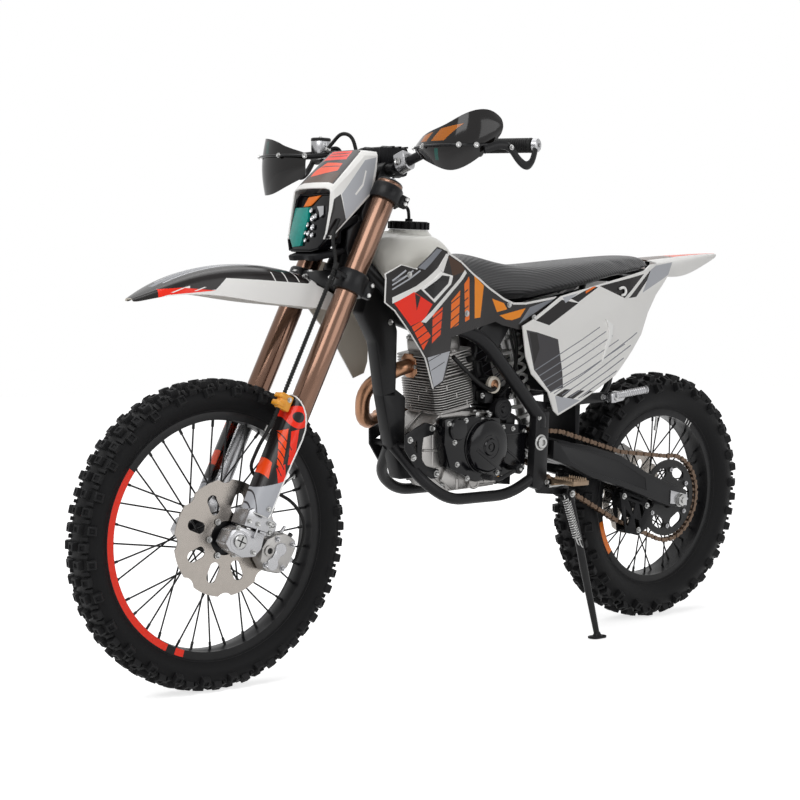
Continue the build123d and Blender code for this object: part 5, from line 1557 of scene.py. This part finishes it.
def makeSwingarm():
    blank = toMesh(plate(arm["outline"], 84, 112, 5))
    dent = toMesh(plate(arm["recess"], 110.5, 120, 1.2))
    limb = refined(blank, [cutBy(dent)])
    parts = [both(limb), both(plate(arm["cross"], 60, 83.7, 3)), crossRod(-180, 523, -91, 91, 21, 40),
        plate([(-302, 508), (-335, 502), (-335, 448), (-302, 462)], -83.7, 83.7, 3),
        both(plate([(-256, 490), (-304, 494), (-304, 464), (-256, 466)], 12.5, 20.5, 1.5))]
    slider = plate([(-150, 546), (-236, 531), (-330, 512), (-330, 506), (-236, 524),
        (-150, 539)], 62, 82, 1.5)
    adjuster = plate([(-702, 366), (-772, 350), (-772, 320), (-702, 330)], 111.5, 115, 0.8)
    stud = rod((-771, 98, 337), (-792, 98, 335), 4, 16)
    lock = nut((-777, 98, 336), (-1, 0, 0), 8, 6)
    wear = plate([(-250, 524), (-372, 502), (-375, 497), (-250, 518)], 112, 112.8, 0.3)
    piece("boxSwingarm", grouped(parts, [slider, both(wear)], twins([adjuster, stud, lock])),
        [frameGrey, mouldedBlack, brightSilver], "swingarm")
    x, z = bike["rearAxle"][::2]
    shaft = crossRod(x, z, -112, 112, 10, 32)
    washer = lathe([(115, 0), (115, 19), (117, 19), (117, 0)], (x, 0, z), toLeft, 40)
    piece("rearAxleShaft", [shaft, both(washer), both(nut((x, 117, z), toLeft, 17, 10))], [zincSteel],
        "rear_axle")


chain = {
    "y": 72, "pitch": 15.875, "front": (-120, 525, 33), "rear": (-740, 338, 116),
    "top": [(-300, 540), (-530, 476)], "low": [(-530, 292), (-300, 404)]}


def chainPath():
    # the loop of pin places, evenly spaced
    fx, fz, fr = chain["front"]
    rx, rz, rr = chain["rear"]
    loop = [(fx + fr * cos(radians(a)), fz + fr * sin(radians(a))) for a in range(-110, 91, 10)]
    loop += chain["top"]
    loop += [(rx + rr * cos(radians(a)), rz + rr * sin(radians(a))) for a in range(83, 288, 4)]
    loop += chain["low"] + [loop[0]]
    spans = [hypot(b[0] - a[0], b[1] - a[1]) for a, b in zip(loop, loop[1:])]
    count = int(sum(spans) / chain["pitch"] / 2) * 2
    step = sum(spans) / count
    places, reach, i = [], 0.0, 0
    for k in range(count):
        while reach + spans[i] < k * step:
            reach += spans[i]
            i += 1
        t = (k * step - reach) / spans[i]
        places.append((loop[i][0] + (loop[i + 1][0] - loop[i][0]) * t, loop[i][1]
            + (loop[i + 1][1] - loop[i][1]) * t))
    return places


def makeChain():
    pins, reach = chainPath(), chain["pitch"]
    half = [(reach / 2, -3.6), (reach - 2, -5.6), (reach + 3.4, -5.6), (reach + 5.4, 0)]
    upper = [(x, -z) for x, z in half[2::-1]]
    side = [(-3.4, 5.6), (-5.4, 0), (-3.4, -5.6), (2, -5.6)] + half + upper + [(2, 5.6)]
    links = []
    for plateY, pinY, radius, sides in ((6.6, 7.9, 2.6, 8), (4.7, 4, 4.6, 10)):
        parts = [plate(side, plateY * sign - 0.8, plateY * sign + 0.8) for sign in (1, -1)]
        parts += [crossRod(x, 0, -pinY, pinY, radius, sides) for x in (0, reach)]
        links.append((toMesh(joined(parts)), []))
    for k, (x, z) in enumerate(pins):
        nx, nz = pins[(k + 1) % len(pins)]
        way = Vector((nx - x, 0, nz - z)).normalized()
        links[k % 2][1].append(Matrix(((way.x, 0, -way.z, x), (0, 1, 0, chain["y"]), (way.z, 0, way.x, z),
            (0, 0, 0, 1))))
    piece("rollerChain", [stamped(shape, places) for shape, places in links], [chainBronze],
        "drive_chain", shade=30)


guide = {
    "outline": [(-522, 370), (-644, 333), (-652, 296), (-656, 272), (-604, 247), (-552, 260), (-546, 290),
        (-536, 310)],
    "holes": [[(-558, 346), (-588, 336), (-580, 306)], [(-548, 326), (-572, 302), (-562, 276), (-554, 280)],
        [(-602, 334), (-630, 322), (-616, 292)], [(-586, 296), (-606, 288), (-612, 262), (-596, 264)]]}


def makeGuide():
    parts = [cutPlate(guide["outline"], guide["holes"], 86, 90, 1),
        cutPlate(guide["outline"], guide["holes"], 58, 62, 1),
        plate([(-535, 376), (-618, 348), (-616, 334), (-535, 358)], 58, 90, 1.5),
        plate([(-556, 272), (-604, 258), (-646, 278), (-646, 268), (-604, 250), (-554, 264)], 60, 88, 1.5)]
    screws = bolts(((-540, 358), (-634, 326), (-604, 262)), 90, 5.5, 4)
    piece("chainGuideCage", grouped(parts, screws), [mouldedBlack, zincSteel],
        "chain_guide")


def ringOf(x, z, radius, start=0):
    # six (along, up) places on a circle
    return [(x + radius * cos(radians(a)), z + radius * sin(radians(a)))
        for a in range(start, start + 360, 60)]


def makeWheelBolts():
    (rearX, _, rearZ), (frontX, _, frontZ) = bike["rearAxle"], bike["frontAxle"]
    screws = [nut((x, 74, z), toLeft, 7, 6) for x, z in ringOf(rearX, rearZ, 77, 32)]
    screws += [bolt((x, -64.6, z), toRight, 5, 3) for x, z in ringOf(rearX, rearZ, 38)]
    piece("rearHubScrews", screws, [brightSilver], body="rear_wheel")
    piece("frontDiscScrews", bolts(ringOf(frontX, frontZ, 43), 63.6, 5, 3), [zincSteel],
        place=steered, body="front_wheel")


def makeShock():
    foot, head = Vector((-268, 0, 478)), Vector((-150, 0, 853))
    run = (head - foot).normalized()
    body = lathe([(40, 0), (40, 30), (46, 30), (48, 20), (190, 19), (190, 8), (290, 8), (292, 28),
        (318, 30), (322, 24), (322, 0)], foot, run, 48)
    eyes = [rod(foot - Vector((0, 12, 0)), foot + Vector((0, 12, 0)), 11, 28, bevel=1.5),
        rod(foot, foot + run * 44, 9, 24), rod(foot + run * 318, head - run * 11.3, 9, 24)]
    spring = coil(foot + run * 46, foot + run * 294, 25, 4.4, 8.5, 3)
    piece("coilShock", grouped([body] + eyes, [spring]), [zincSteel, whiteGloss],
        "shock_absorber")


# engine
barrel = shift((62, 0, 608)) @ turned(10, "Y")


def rounder(halfX, halfY, corner, steps=4):
    # a rectangle with rounded corners, drawn from above
    points = []
    for sx, sy, start in ((1, 1, 0), (-1, 1, 90), (-1, -1, 180), (1, -1, 270)):
        for i in range(steps + 1):
            a = radians(start + 90 * i / steps)
            points.append((sx * (halfX - corner) + corner * cos(a), sy * (halfY - corner)
                + corner * sin(a)))
    return points


def makeCylinder():
    fin = toMesh(slab(rounder(66, 71, 26), 0, 2.0, 0.4))
    headFin = toMesh(slab(rounder(69, 73, 22), 0, 2.2, 0.5))
    # short staggered ties between the fins on both flanks
    tie = toMesh(block((-1.4, -3, 0), (1.4, 3, 6.2)))
    ties = []
    for i in (0, 1, 4, 5, 8, 9):
        x, z = (-30, 22, 2, -12, 32, -36)[i // 2], 7.5 + 6.1 * i
        ties += [shift((x, 67.5, z)), shift((x, -67.5, z)), shift((62.5, x, z)) @ turned(90, "Z")]
    castings = [slab(rounder(46, 50, 14), -2, 150), slab(rounder(57, 60, 14), -4, 3, 1),
        stamped(fin, [shift((0, 0, 6.5 + 6.1 * i)) for i in range(13)]),
        stamped(headFin, [shift((0, 0, 90 + 7.2 * i)) for i in range(8)]), stamped(tie, ties),
        slab(rounder(48, 55, 20), 146, 176, 4), slab(rounder(44, 51, 18), 172, 184, 5),
        lathe([(40, 0), (40, 21), (60, 21), (63, 18), (64, 12), (62, 11), (62, 0)], (-10, 0, 128), toLeft,
        40), lathe([(30, 0), (30, 24), (63, 24), (63, 18), (62, 0)], (0, -18, 117), forward, 40),
        moved(rod((4.3, 0, 690.1), (38, 0, 701.4), 22, 32), barrel.inverted())]
    steel = [nut((x, y, 176), upward, 7, 7) for x in (38, -38) for y in (44, -44)]
    steel += [nut((x, 60, 92), (0, 0.4, 1), 6, 6) for x in (-36, 30)]
    steel += [rod((-38, 52, 112), (-44, 70, 118), 9, 6, bevel=1),
        rod((-36, 46, 110), (-38, 54, 112), 12, 24, bevel=1)]
    lead = [rod((-44, 70, 118), (-50, 88, 124), 8.5, 20, 6.5, 1.5),
        hose([(-50, 88, 124), (-56, 92, 140), (-62, 84, 168), (-60, 60, 196), (-50, 40, 214)], 3.6)]
    piece("finnedCylinder", [moved(part, barrel) for part in grouped(castings, steel, lead)],
        [castSilver, zincSteel, hoseRubber], "cylinder", shade=30)


case = {
    "outline": [(118, 598), (40, 606), (-60, 600), (-135, 570), (-148, 470), (-120, 425), (-60, 412),
        (80, 408), (140, 450), (168, 500), (165, 560)],
    "bulge": [(176, 552), (150, 566), (118, 560), (104, 520), (108, 470), (140, 466), (172, 482)],
    "lower": [(96, 470), (20, 446), (-70, 444), (-70, 416), (78, 412), (112, 440)]}


def makeCrankcase():
    seam = [(x * 1.012 + 0.4, 0, z + (2.2 if z > 510 else -2.2)) for x, z in case["outline"]]
    castings = [plate(case["outline"], -62, 62, 7), plate(case["outline"], -2.2, 2.2),
        hose(seam + seam[:1], 2.4, straight=True)]
    castings += twins([plate(case["bulge"], 58, 66, 4), plate(case["lower"], 58, 72, 4)])
    # ribs on both halves
    for ax, az, bx, bz, y, radius, sides in ((106, 512, 172, 515, 66, 3.2, 14),
            (140, 556, 136, 476, 64, 3.2, 14), (112, 590, 150, 566, 62, 5, 16),
            (60, 440, 60, 414, 70, 6, 18), (100, 446, 78, 414, 62, 6, 18)):
        castings.append(both(rod((ax, y, az), (bx, y, bz), radius, sides)))
    # oil screen housing and the pipe low on the left
    castings += [lathe([(60, 0), (60, 17), (84, 17), (86, 15), (86, 11), (84.5, 10), (84.5, 0)],
        (12, 0, 430), toLeft, 40), rod((-4, 72, 430), (-62, 78, 428), 9, 24, 7.5, 1.5),
        crossRod(-120, 525, 61, 81, 11.7, 28), rod((-22, 73, 430), (-26, 73.5, 430), 11, 24, bevel=1)]
    dark = [rod((-62, 78, 428), (-84, 80, 432), 9, 20, bevel=1.5), block((-80, 66, 436), (-62, 80, 448), 2),
        hose([(-80, 80, 432), (-104, 84, 440), (-118, 82, 470)], 4)]
    screws = bolts(((112, 584), (-124, 556), (100, 428), (-100, 436)), 62, 4.5, 4)
    screws += bolts(((-6, 418),), 72, 4, 3)
    piece("splitCrankcase", grouped(castings, dark, [block((-74, 80, 438), (-58, 84, 446), 1.5)],
        twins(screws)), [castSilver, hoseRubber, amberClip, zincSteel], "crankcase")


cover = {
    "left": [(132, 592), (60, 596), (-58, 588), (-58, 440), (20, 432), (110, 470), (132, 530)],
    "sprocket": [(-50, 575), (-155, 565), (-155, 452), (-50, 440)],
    "right": [(110, 560), (60, 590), (-60, 590), (-125, 545), (-125, 470), (-60, 425),
        (60, 425), (110, 470)]}


def makeCovers():
    dish = lathe([(62.3, 0), (62.3, 66), (98, 68), (104, 68), (113, 64), (117.5, 56), (117.5, 30),
        (116, 28), (116, 22), (118, 20), (120.5, 19), (120.5, 12), (118, 11), (118, 7), (120, 6), (120, 0)],
        (-6, 0, 520), toLeft, 80)
    rim = lathe([(96, 67), (97, 69.5), (101, 69.5), (102, 67.5)], (-6, 0, 520), toLeft, 80)
    rib = moved(block((-52, 116.5, -5), (52, 119, 5), 1.2), shift((-4, 0, 488)) @ turned(-33, "Y"))
    left = plate(cover["left"], 62.3, 99, 6)
    starter = [lathe([(52, 0), (52, 25), (56, 27), (60, 27), (62, 26), (78, 26), (79, 25.2), (98, 25.2),
        (99, 27), (105, 27), (109, 24), (110, 12), (110, 0)], (92, 0, 566), toLeft, 48)]
    starter += [lathe([(k, 26), (k + 0.8, 27.4), (k + 2.6, 27.4), (k + 3.4, 26)], (92, 0, 566), toLeft, 48)
        for k in (63, 68, 73)]
    label = strip([(81, 25.6), (97, 25.6)], 20, 130, 16)
    sprocket = [plate(cover["sprocket"], 84.3, 92, 2.5),
        moved(block((-46, 91, -3), (46, 94, 3), 1), shift((-104, 0, 496)) @ turned(-33, "Y")),
        moved(block((-40, 91, -3), (40, 94, 3), 1), shift((-108, 0, 545)))]
    right = [plate(cover["right"], -102, -62.3, 6),
        lathe([(-118, 0), (-118, 60), (-113, 69), (-104, 72), (-98, 72), (-98, 0)], (-40, 0, 510), toLeft,
        72), lathe([(-121, 0), (-121, 16), (-118, 18), (-116, 18), (-116, 0)], (-40, 0, 510), toLeft, 36)]
    dark = [dish, rim, rib, left] + starter + sprocket + right
    screws = bolts(((99, 534), (88, 480), (64, 586), (8, 584), (-50, 452), (120, 580),
        (52, 444)), 99, 4.6, 4)
    screws += bolts(((-72, 563), (-106, 558), (-146, 550), (-146, 462)), 92, 4.2, 4)
    screws += [bolt((-40 + 64 * cos(radians(a)), -113, 510 + 64 * sin(radians(a))), toRight, 4, 4)
        for a in range(20, 380, 60)]
    sticker = moved(label, shift((92, 0, 566)))
    piece("engineSideCovers", grouped(dark, screws, [sticker]), [glossBlack, zincSteel, brightSilver],
        "engine_covers")


def makeCarburettor():
    throat = Vector((4, 0, 690))
    run = (Vector((-100, 0, 655)) - throat).normalized()
    body = [lathe([(0, 0), (0, 24), (6, 24), (8, 21), (30, 20), (34, 26), (74, 26), (78, 22), (84, 26),
        (108, 27), (110, 24), (110, 0)], throat, run, 40),
        lathe([(612, 0), (612, 24), (616, 28), (640, 30), (690, 28), (700, 22), (720, 20), (722, 0)],
        (-52, 0, 0), upward, 40), lathe([(0, 0), (0, 16), (64, 16), (66, 19), (70, 20), (70, 0)],
        (-50, 0, 668), toLeft, 36)]
    body += [lathe([(0, 0), (0, 18), (52, 18), (56, 28), (74, 30), (80, 29), (83, 25), (83, 20), (81, 18),
        (81, 9), (84, 7), (84, 0)], (-82, 0, 605), toLeft, 48), block((-60, 30, 620), (-30, 66, 652), 6),
        block((-110, 26, 622), (-84, 60, 650), 5), block((-128, 58, 566), (-96, 78, 590), 3),
        crossRod(-40, 596, 50, 80, 6, 18, bevel=1)]
    cap = [lathe([(70, 0), (70, 20.5), (76, 21.5), (80, 21.5), (82, 19), (82, 14), (80.5, 13), (80.5, 0)],
        (-47, 0, 668), toLeft, 40)]
    copper = [lathe([(80, 0), (80, 13), (81, 13), (81.5, 6), (83.5, 5), (83.5, 0)],
        (-47, 0, 668), toLeft, 32)]
    tubes = [hose([(112, 96, 741), (84, 88, 724), (57, 84, 706), (14, 84, 676), (-16, 86, 660),
        (-37, 88, 655), (-44, 86, 662)], 5.5), hose([(-110, 40, 640), (-128, 66, 690), (-120, 84, 760),
        (-96, 88, 806)], 4.5), hose([(-84, 60, 636), (-112, 76, 668), (-118, 86, 720), (-90, 84, 790)],
        3.4), hose([(-60, 40, 722), (-52, 66, 768), (-40, 80, 806)], 7),
        hose([(-96, 60, 600), (-136, 72, 588), (-150, 84, 560), (-140, 86, 520)], 3.6)]
    bits = [bolt((-26, 60, 640), toLeft, 4.5, 4), bolt((-30, 84, 596), toLeft, 4, 3),
        bolt((4, 66, 600), toLeft, 4.5, 4), crossRod(-118, 640, 78, 84, 7, 18, bevel=1),
        block((-130, 76, 634), (-106, 80, 646), 2)]
    blue = [crossRod(10, 597, 60, 84, 6, 18, bevel=1), crossRod(-30, 600, 60, 80, 5, 18, bevel=1)]
    piece("carburettorBody", grouped(body, cap, copper, tubes, bits + blue),
        [satinBlack, insideBeige, heatedSteel, hoseRubber, zincSteel], "carburettor")


def makeAirbox():
    box = plate([(-262, 856), (-500, 902), (-470, 700), (-380, 660), (-262, 640)], -70, 70, 8)
    ribs = [plate([(-290 - 44 * i, 850 + 8 * i), (-296 - 44 * i, 851 + 8 * i), (-296 - 40 * i, 668 + 4 * i),
        (-290 - 40 * i, 668 + 4 * i)], -72, 72, 1) for i in range(4)]
    piece("airFilterBox", [box] + ribs, [mouldedBlack], "airbox")
    sheet = plate([(-364, 657), (-380, 659.7), (-386, 662), (-388, 470), (-376, 470)], -58, 58, 1.5)
    ribs = [block((-389, -44 + 22 * i, 482), (-384, -41 + 22 * i, 650), 0.8) for i in range(5)]
    piece("innerMudFlap", [sheet] + ribs, [mouldedBlack], "inner_mudguard")


def makeExhaust():
    port, out = barrel @ Vector((63.3, -18, 117)), barrel @ Vector((99, -18, 117))
    bend, start = Vector((-160, -154, 640)), Vector((-330, -176, 672))
    pipe = bentTube([port, out, (244, -78, 655), (214, -112, 560), (60, -140, 590), bend, start], 46, 18, 8)
    flange = slab([(30, 12), (18, 26), (-18, 26), (-30, 12), (-30, -12), (-18, -26), (18, -26),
        (30, -12)], 0, 7, 1.5)
    joints = (((-120, -151.5, 631), (-0.97, -0.06, 0.2)), ((150, -126, 574), (-0.96, -0.16, 0.18)))
    rings = [lathe([(0, 18), (0, 20), (10, 20), (10, 18)], at, way, 36, True) for at, way in joints]
    steel = [nut(off(port + (out - port).normalized() * 7, 0, y, 0), out - port, 6, 5) for y in (24, -24)]
    steel.append(lathe([(0, 20), (2, 22.5), (118, 22.5), (120, 20)], (40, -141.5, 594),
        (-0.96, -0.06, 0.22), 36))
    piece("bentExhaustPipe", grouped([pipe, moved(flange, aimed(port, out - port))] + rings, steel),
        [heatedSteel, zincSteel], "exhaust_pipe", shade=45)
    lead, along = (start - bend).normalized(), Vector((-330, 0, 124)).normalized()
    foot = start + lead * 40
    can = [lathe([(0, 0), (0, 24), (14, 30), (22, 42), (30, 43.5), (40, 43.5), (43, 42), (300, 42),
        (303, 43.5), (316, 43.5), (330, 36), (350, 26), (352.5, 24), (352.5, 17), (340, 16), (340, 0)],
        foot, along, 56), rod(start + lead * 0.3, start + lead * 58, 24, 36)]
    bright = [lathe([(k, 42), (k + 1, 44), (k + 15, 44), (k + 16, 42)], foot, along, 56) for k in (90, 232)]
    bright.append(block((-520, -132, 760), (-470, -126, 800), 2))
    across = along.cross(Vector(toLeft))
    for k in (34, 309):      # rivets round both ends
        for a in range(0, 360, 45):
            out = Vector(toLeft) * cos(radians(a)) + across * sin(radians(a))
            bright.append(rod(foot + along * k + out * 43, foot + along * k + out * 44.6, 2.4, 8))
    piece("roundMuffler", grouped(can, bright), [satinBlack, brightSilver],
        "muffler", shade=45)


pegSpec = {"back": -284, "front": -224, "reach": 196}


def makePegs():
    x, farX, farY = pegSpec["back"], pegSpec["front"], pegSpec["reach"]
    bars = [block(low, high, bevel) for low, high, bevel in (((x, 124, 418), (x + 7, farY - 4, 430), 1.5),
        ((farX - 9, 124, 418), (farX - 2, farY - 6, 430), 1.5),
        ((x, farY - 8, 418), (farX - 3, farY - 2, 430), 2), ((-257, 124, 419), (-252, farY - 4, 428), 1),
        ((x, 154, 419), (farX - 2, 158, 428), 1), ((x + 2, 111.5, 412), (farX - 4, 128, 431), 3))]
    tooth = toMesh(rod((0, 0, 428), (0, 0, 436), 3.6, 4, 1.2))
    places = [shift((at, 130 + 7.6 * i, 0)) for i in range(8) for at in (x + 3.5, farX - 5.5)]
    places += [shift((x + 10 + 8 * i, farY - 5, 0)) for i in range(6)]
    hinge = rod((-290, 117, 410), (-218, 117, 410), 4.5, 16, bevel=1)
    piece("toothedFootPegs", grouped(twins(bars + [stamped(tooth, places)]), [both(hinge)]),
        [pegBronze, zincSteel], "footpegs")
    ridge = [(0, 0), (0, 8)]
    for k in range(0, 112, 8):
        ridge += [(4 + k, 8), (5 + k, 9.6), (9 + k, 9.6), (10 + k, 8)]
    ridge += [(118, 8), (119, 10.5), (122, 10.5), (122.6, 0)]
    parts = [lathe(ridge, (-430, 136, 634), (-122, 0, 12), 24),
        crossRod(-430, 627, 106.3, 138, 12, 28, bevel=2),
        plate([(-414, 640), (-444, 646), (-470, 630), (-462, 620), (-416, 614)], 122, 140, 4)]
    piece("ribbedRearPegs", grouped(twins(parts), twins(bolts(((-430, 627),), 138, 6, 4))),
        [brightSilver, zincSteel], "rear_pegs")


def makeFootControls():
    lever = [crossRod(-95, 462, 92.3, 132, 7, 20, bevel=1), crossRod(-95, 462, 118, 134, 12, 24, bevel=2),
        bentTube([(-95, 126, 462), (-30, 128, 440), (30, 132, 452)], 14, 5, 5),
        crossRod(30, 452, 128, 164, 6.5, 20, bevel=2)]
    lever += [crossRod(30, 452, 134 + 6 * i, 137 + 6 * i, 7.4, 20) for i in range(5)]
    pedal = [crossRod(-186, 424, -118.3, -136, 12, 28, bevel=1.5),
        bentTube([(-186, -130, 424), (-90, -132, 402), (0, -130, 420)], 16, 6, 5),
        block((-12, -164, 420), (14, -128, 430), 2.5)]
    pedal += [block((-10 + 6 * i, -162, 429), (-7 + 6 * i, -130, 432.5), 0.8) for i in range(4)]
    screw = [bolt((-95, 132, 462), toLeft, 4.5, 4)]
    piece("shiftAndBrakeLevers", grouped(lever + pedal, screw), [satinBlack, zincSteel],
        "foot_controls")


def makeRearCaliper():
    body = [plate([(-712, 400), (-714, 462), (-690, 474), (-660, 470), (-624, 442), (-640, 402)], -76, -70,
        3), plate([(-712, 400), (-714, 462), (-690, 474), (-660, 470), (-624, 442), (-640, 402)], -54, -44,
        3), plate([(-706, 458), (-690, 474), (-660, 470), (-626, 444), (-640, 462), (-664, 478)], -72, -50,
        2), plate([(-700, 402), (-640, 410), (-640, 372), (-700, 356)], -83.5, -74, 2)]
    discs = [lathe([(-47, 0), (-47, 14), (-43, 14), (-41, 12), (-41, 0)], (x, 0, z), toLeft, 28)
        for x, z in ((-690, 440), (-662, 432))]
    screws = bolts(((-704, 412), (-640, 440)), -44, 4.5, 4)
    line = hose([(-664, -60, 474), (-620, -76, 490), (-540, -92, 478), (-420, -96, 470),
        (-330, -92, 490)], 4)
    piece("rearBrakeCaliper", grouped(body + discs, screws, [line]), [castSilver, zincSteel, hoseRubber],
        "rear_caliper")


standSpec = {"pivot": (-286, 111, 388), "foot": (-371, 170)}


def makeStand():
    x, y, z = standSpec["pivot"]
    tilt = radians(bike["lean"])
    footX, footY = standSpec["foot"]
    foot, up = Vector((footX, footY * cos(tilt), footY * sin(tilt))), Vector((0, -sin(tilt), cos(tilt)))
    top = Vector((x, y + 17, z))
    reach = foot - top
    parts = [rod(top + reach * 0.02, top + reach * 0.5, 8.5, 28, 10.5),
        rod(top + reach * 0.5, foot + up * 5, 10.5, 28, 7.5),
        crossRod(x, z, y + 0.3, y + 26, 11, 28, bevel=1.5),
        plate([(x - 16, z + 10), (x + 14, z + 14), (x + 12, z - 44), (x - 20, z - 40)], y + 14, y + 21, 2),
        moved(slab(rounder(26, 17, 14), 0, 6, 1.5), aimed(foot, up)),
        lathe([(5, 13), (12, 9), (16, 7)], foot, up, 24), crossRod(x + 22, z - 6, y + 22, y + 30, 4, 16)]
    low = off(top + reach * 0.36, 2, 4, 0)
    springs = [bolt((x, y + 26, z), toLeft, 6, 4)]
    for offset, radius in (((0, 0, 0), 6.5), ((-9, 4, -6), 4.6)):
        high, end = off(Vector((x + 30, y + 26, z - 2)), *offset), off(low, *offset) + Vector((14, 2, 10))
        lean = (end - high).normalized()
        springs += [coil(high + lean * 10, end - lean * 14, radius, 1.6, 17),
            hose([high, high + lean * 11], 1.6, straight=True),
            hose([end - lean * 15, end + lean * 4, off(end, -8, 0, -6)], 1.6)]
    piece("sideStandLeg", grouped(parts, springs), [satinBlack, zincSteel], "side_stand",
        body="side_stand")


makeFrame()
makeSubframe()
makeSwingarm()
makeChain()
makeGuide()
makeWheelBolts()
makeShock()
makeCylinder()
makeCrankcase()
makeCovers()
makeCarburettor()
makeAirbox()
makeExhaust()
makePegs()
makeFootControls()
makeRearCaliper()
makeStand()
print("frame and engine ready")

# the CAD's own discs and sprockets keep their shape and take a finish
for name, material in (("front_disc", discSteel), ("rear_disc", discSteel), ("rear_sprocket", satinBlack),
        ("front_sprocket", zincSteel)):
    slots = frame["nodes"][name].data.materials
    slots.clear()
    slots.append(material)
print("discs ready")
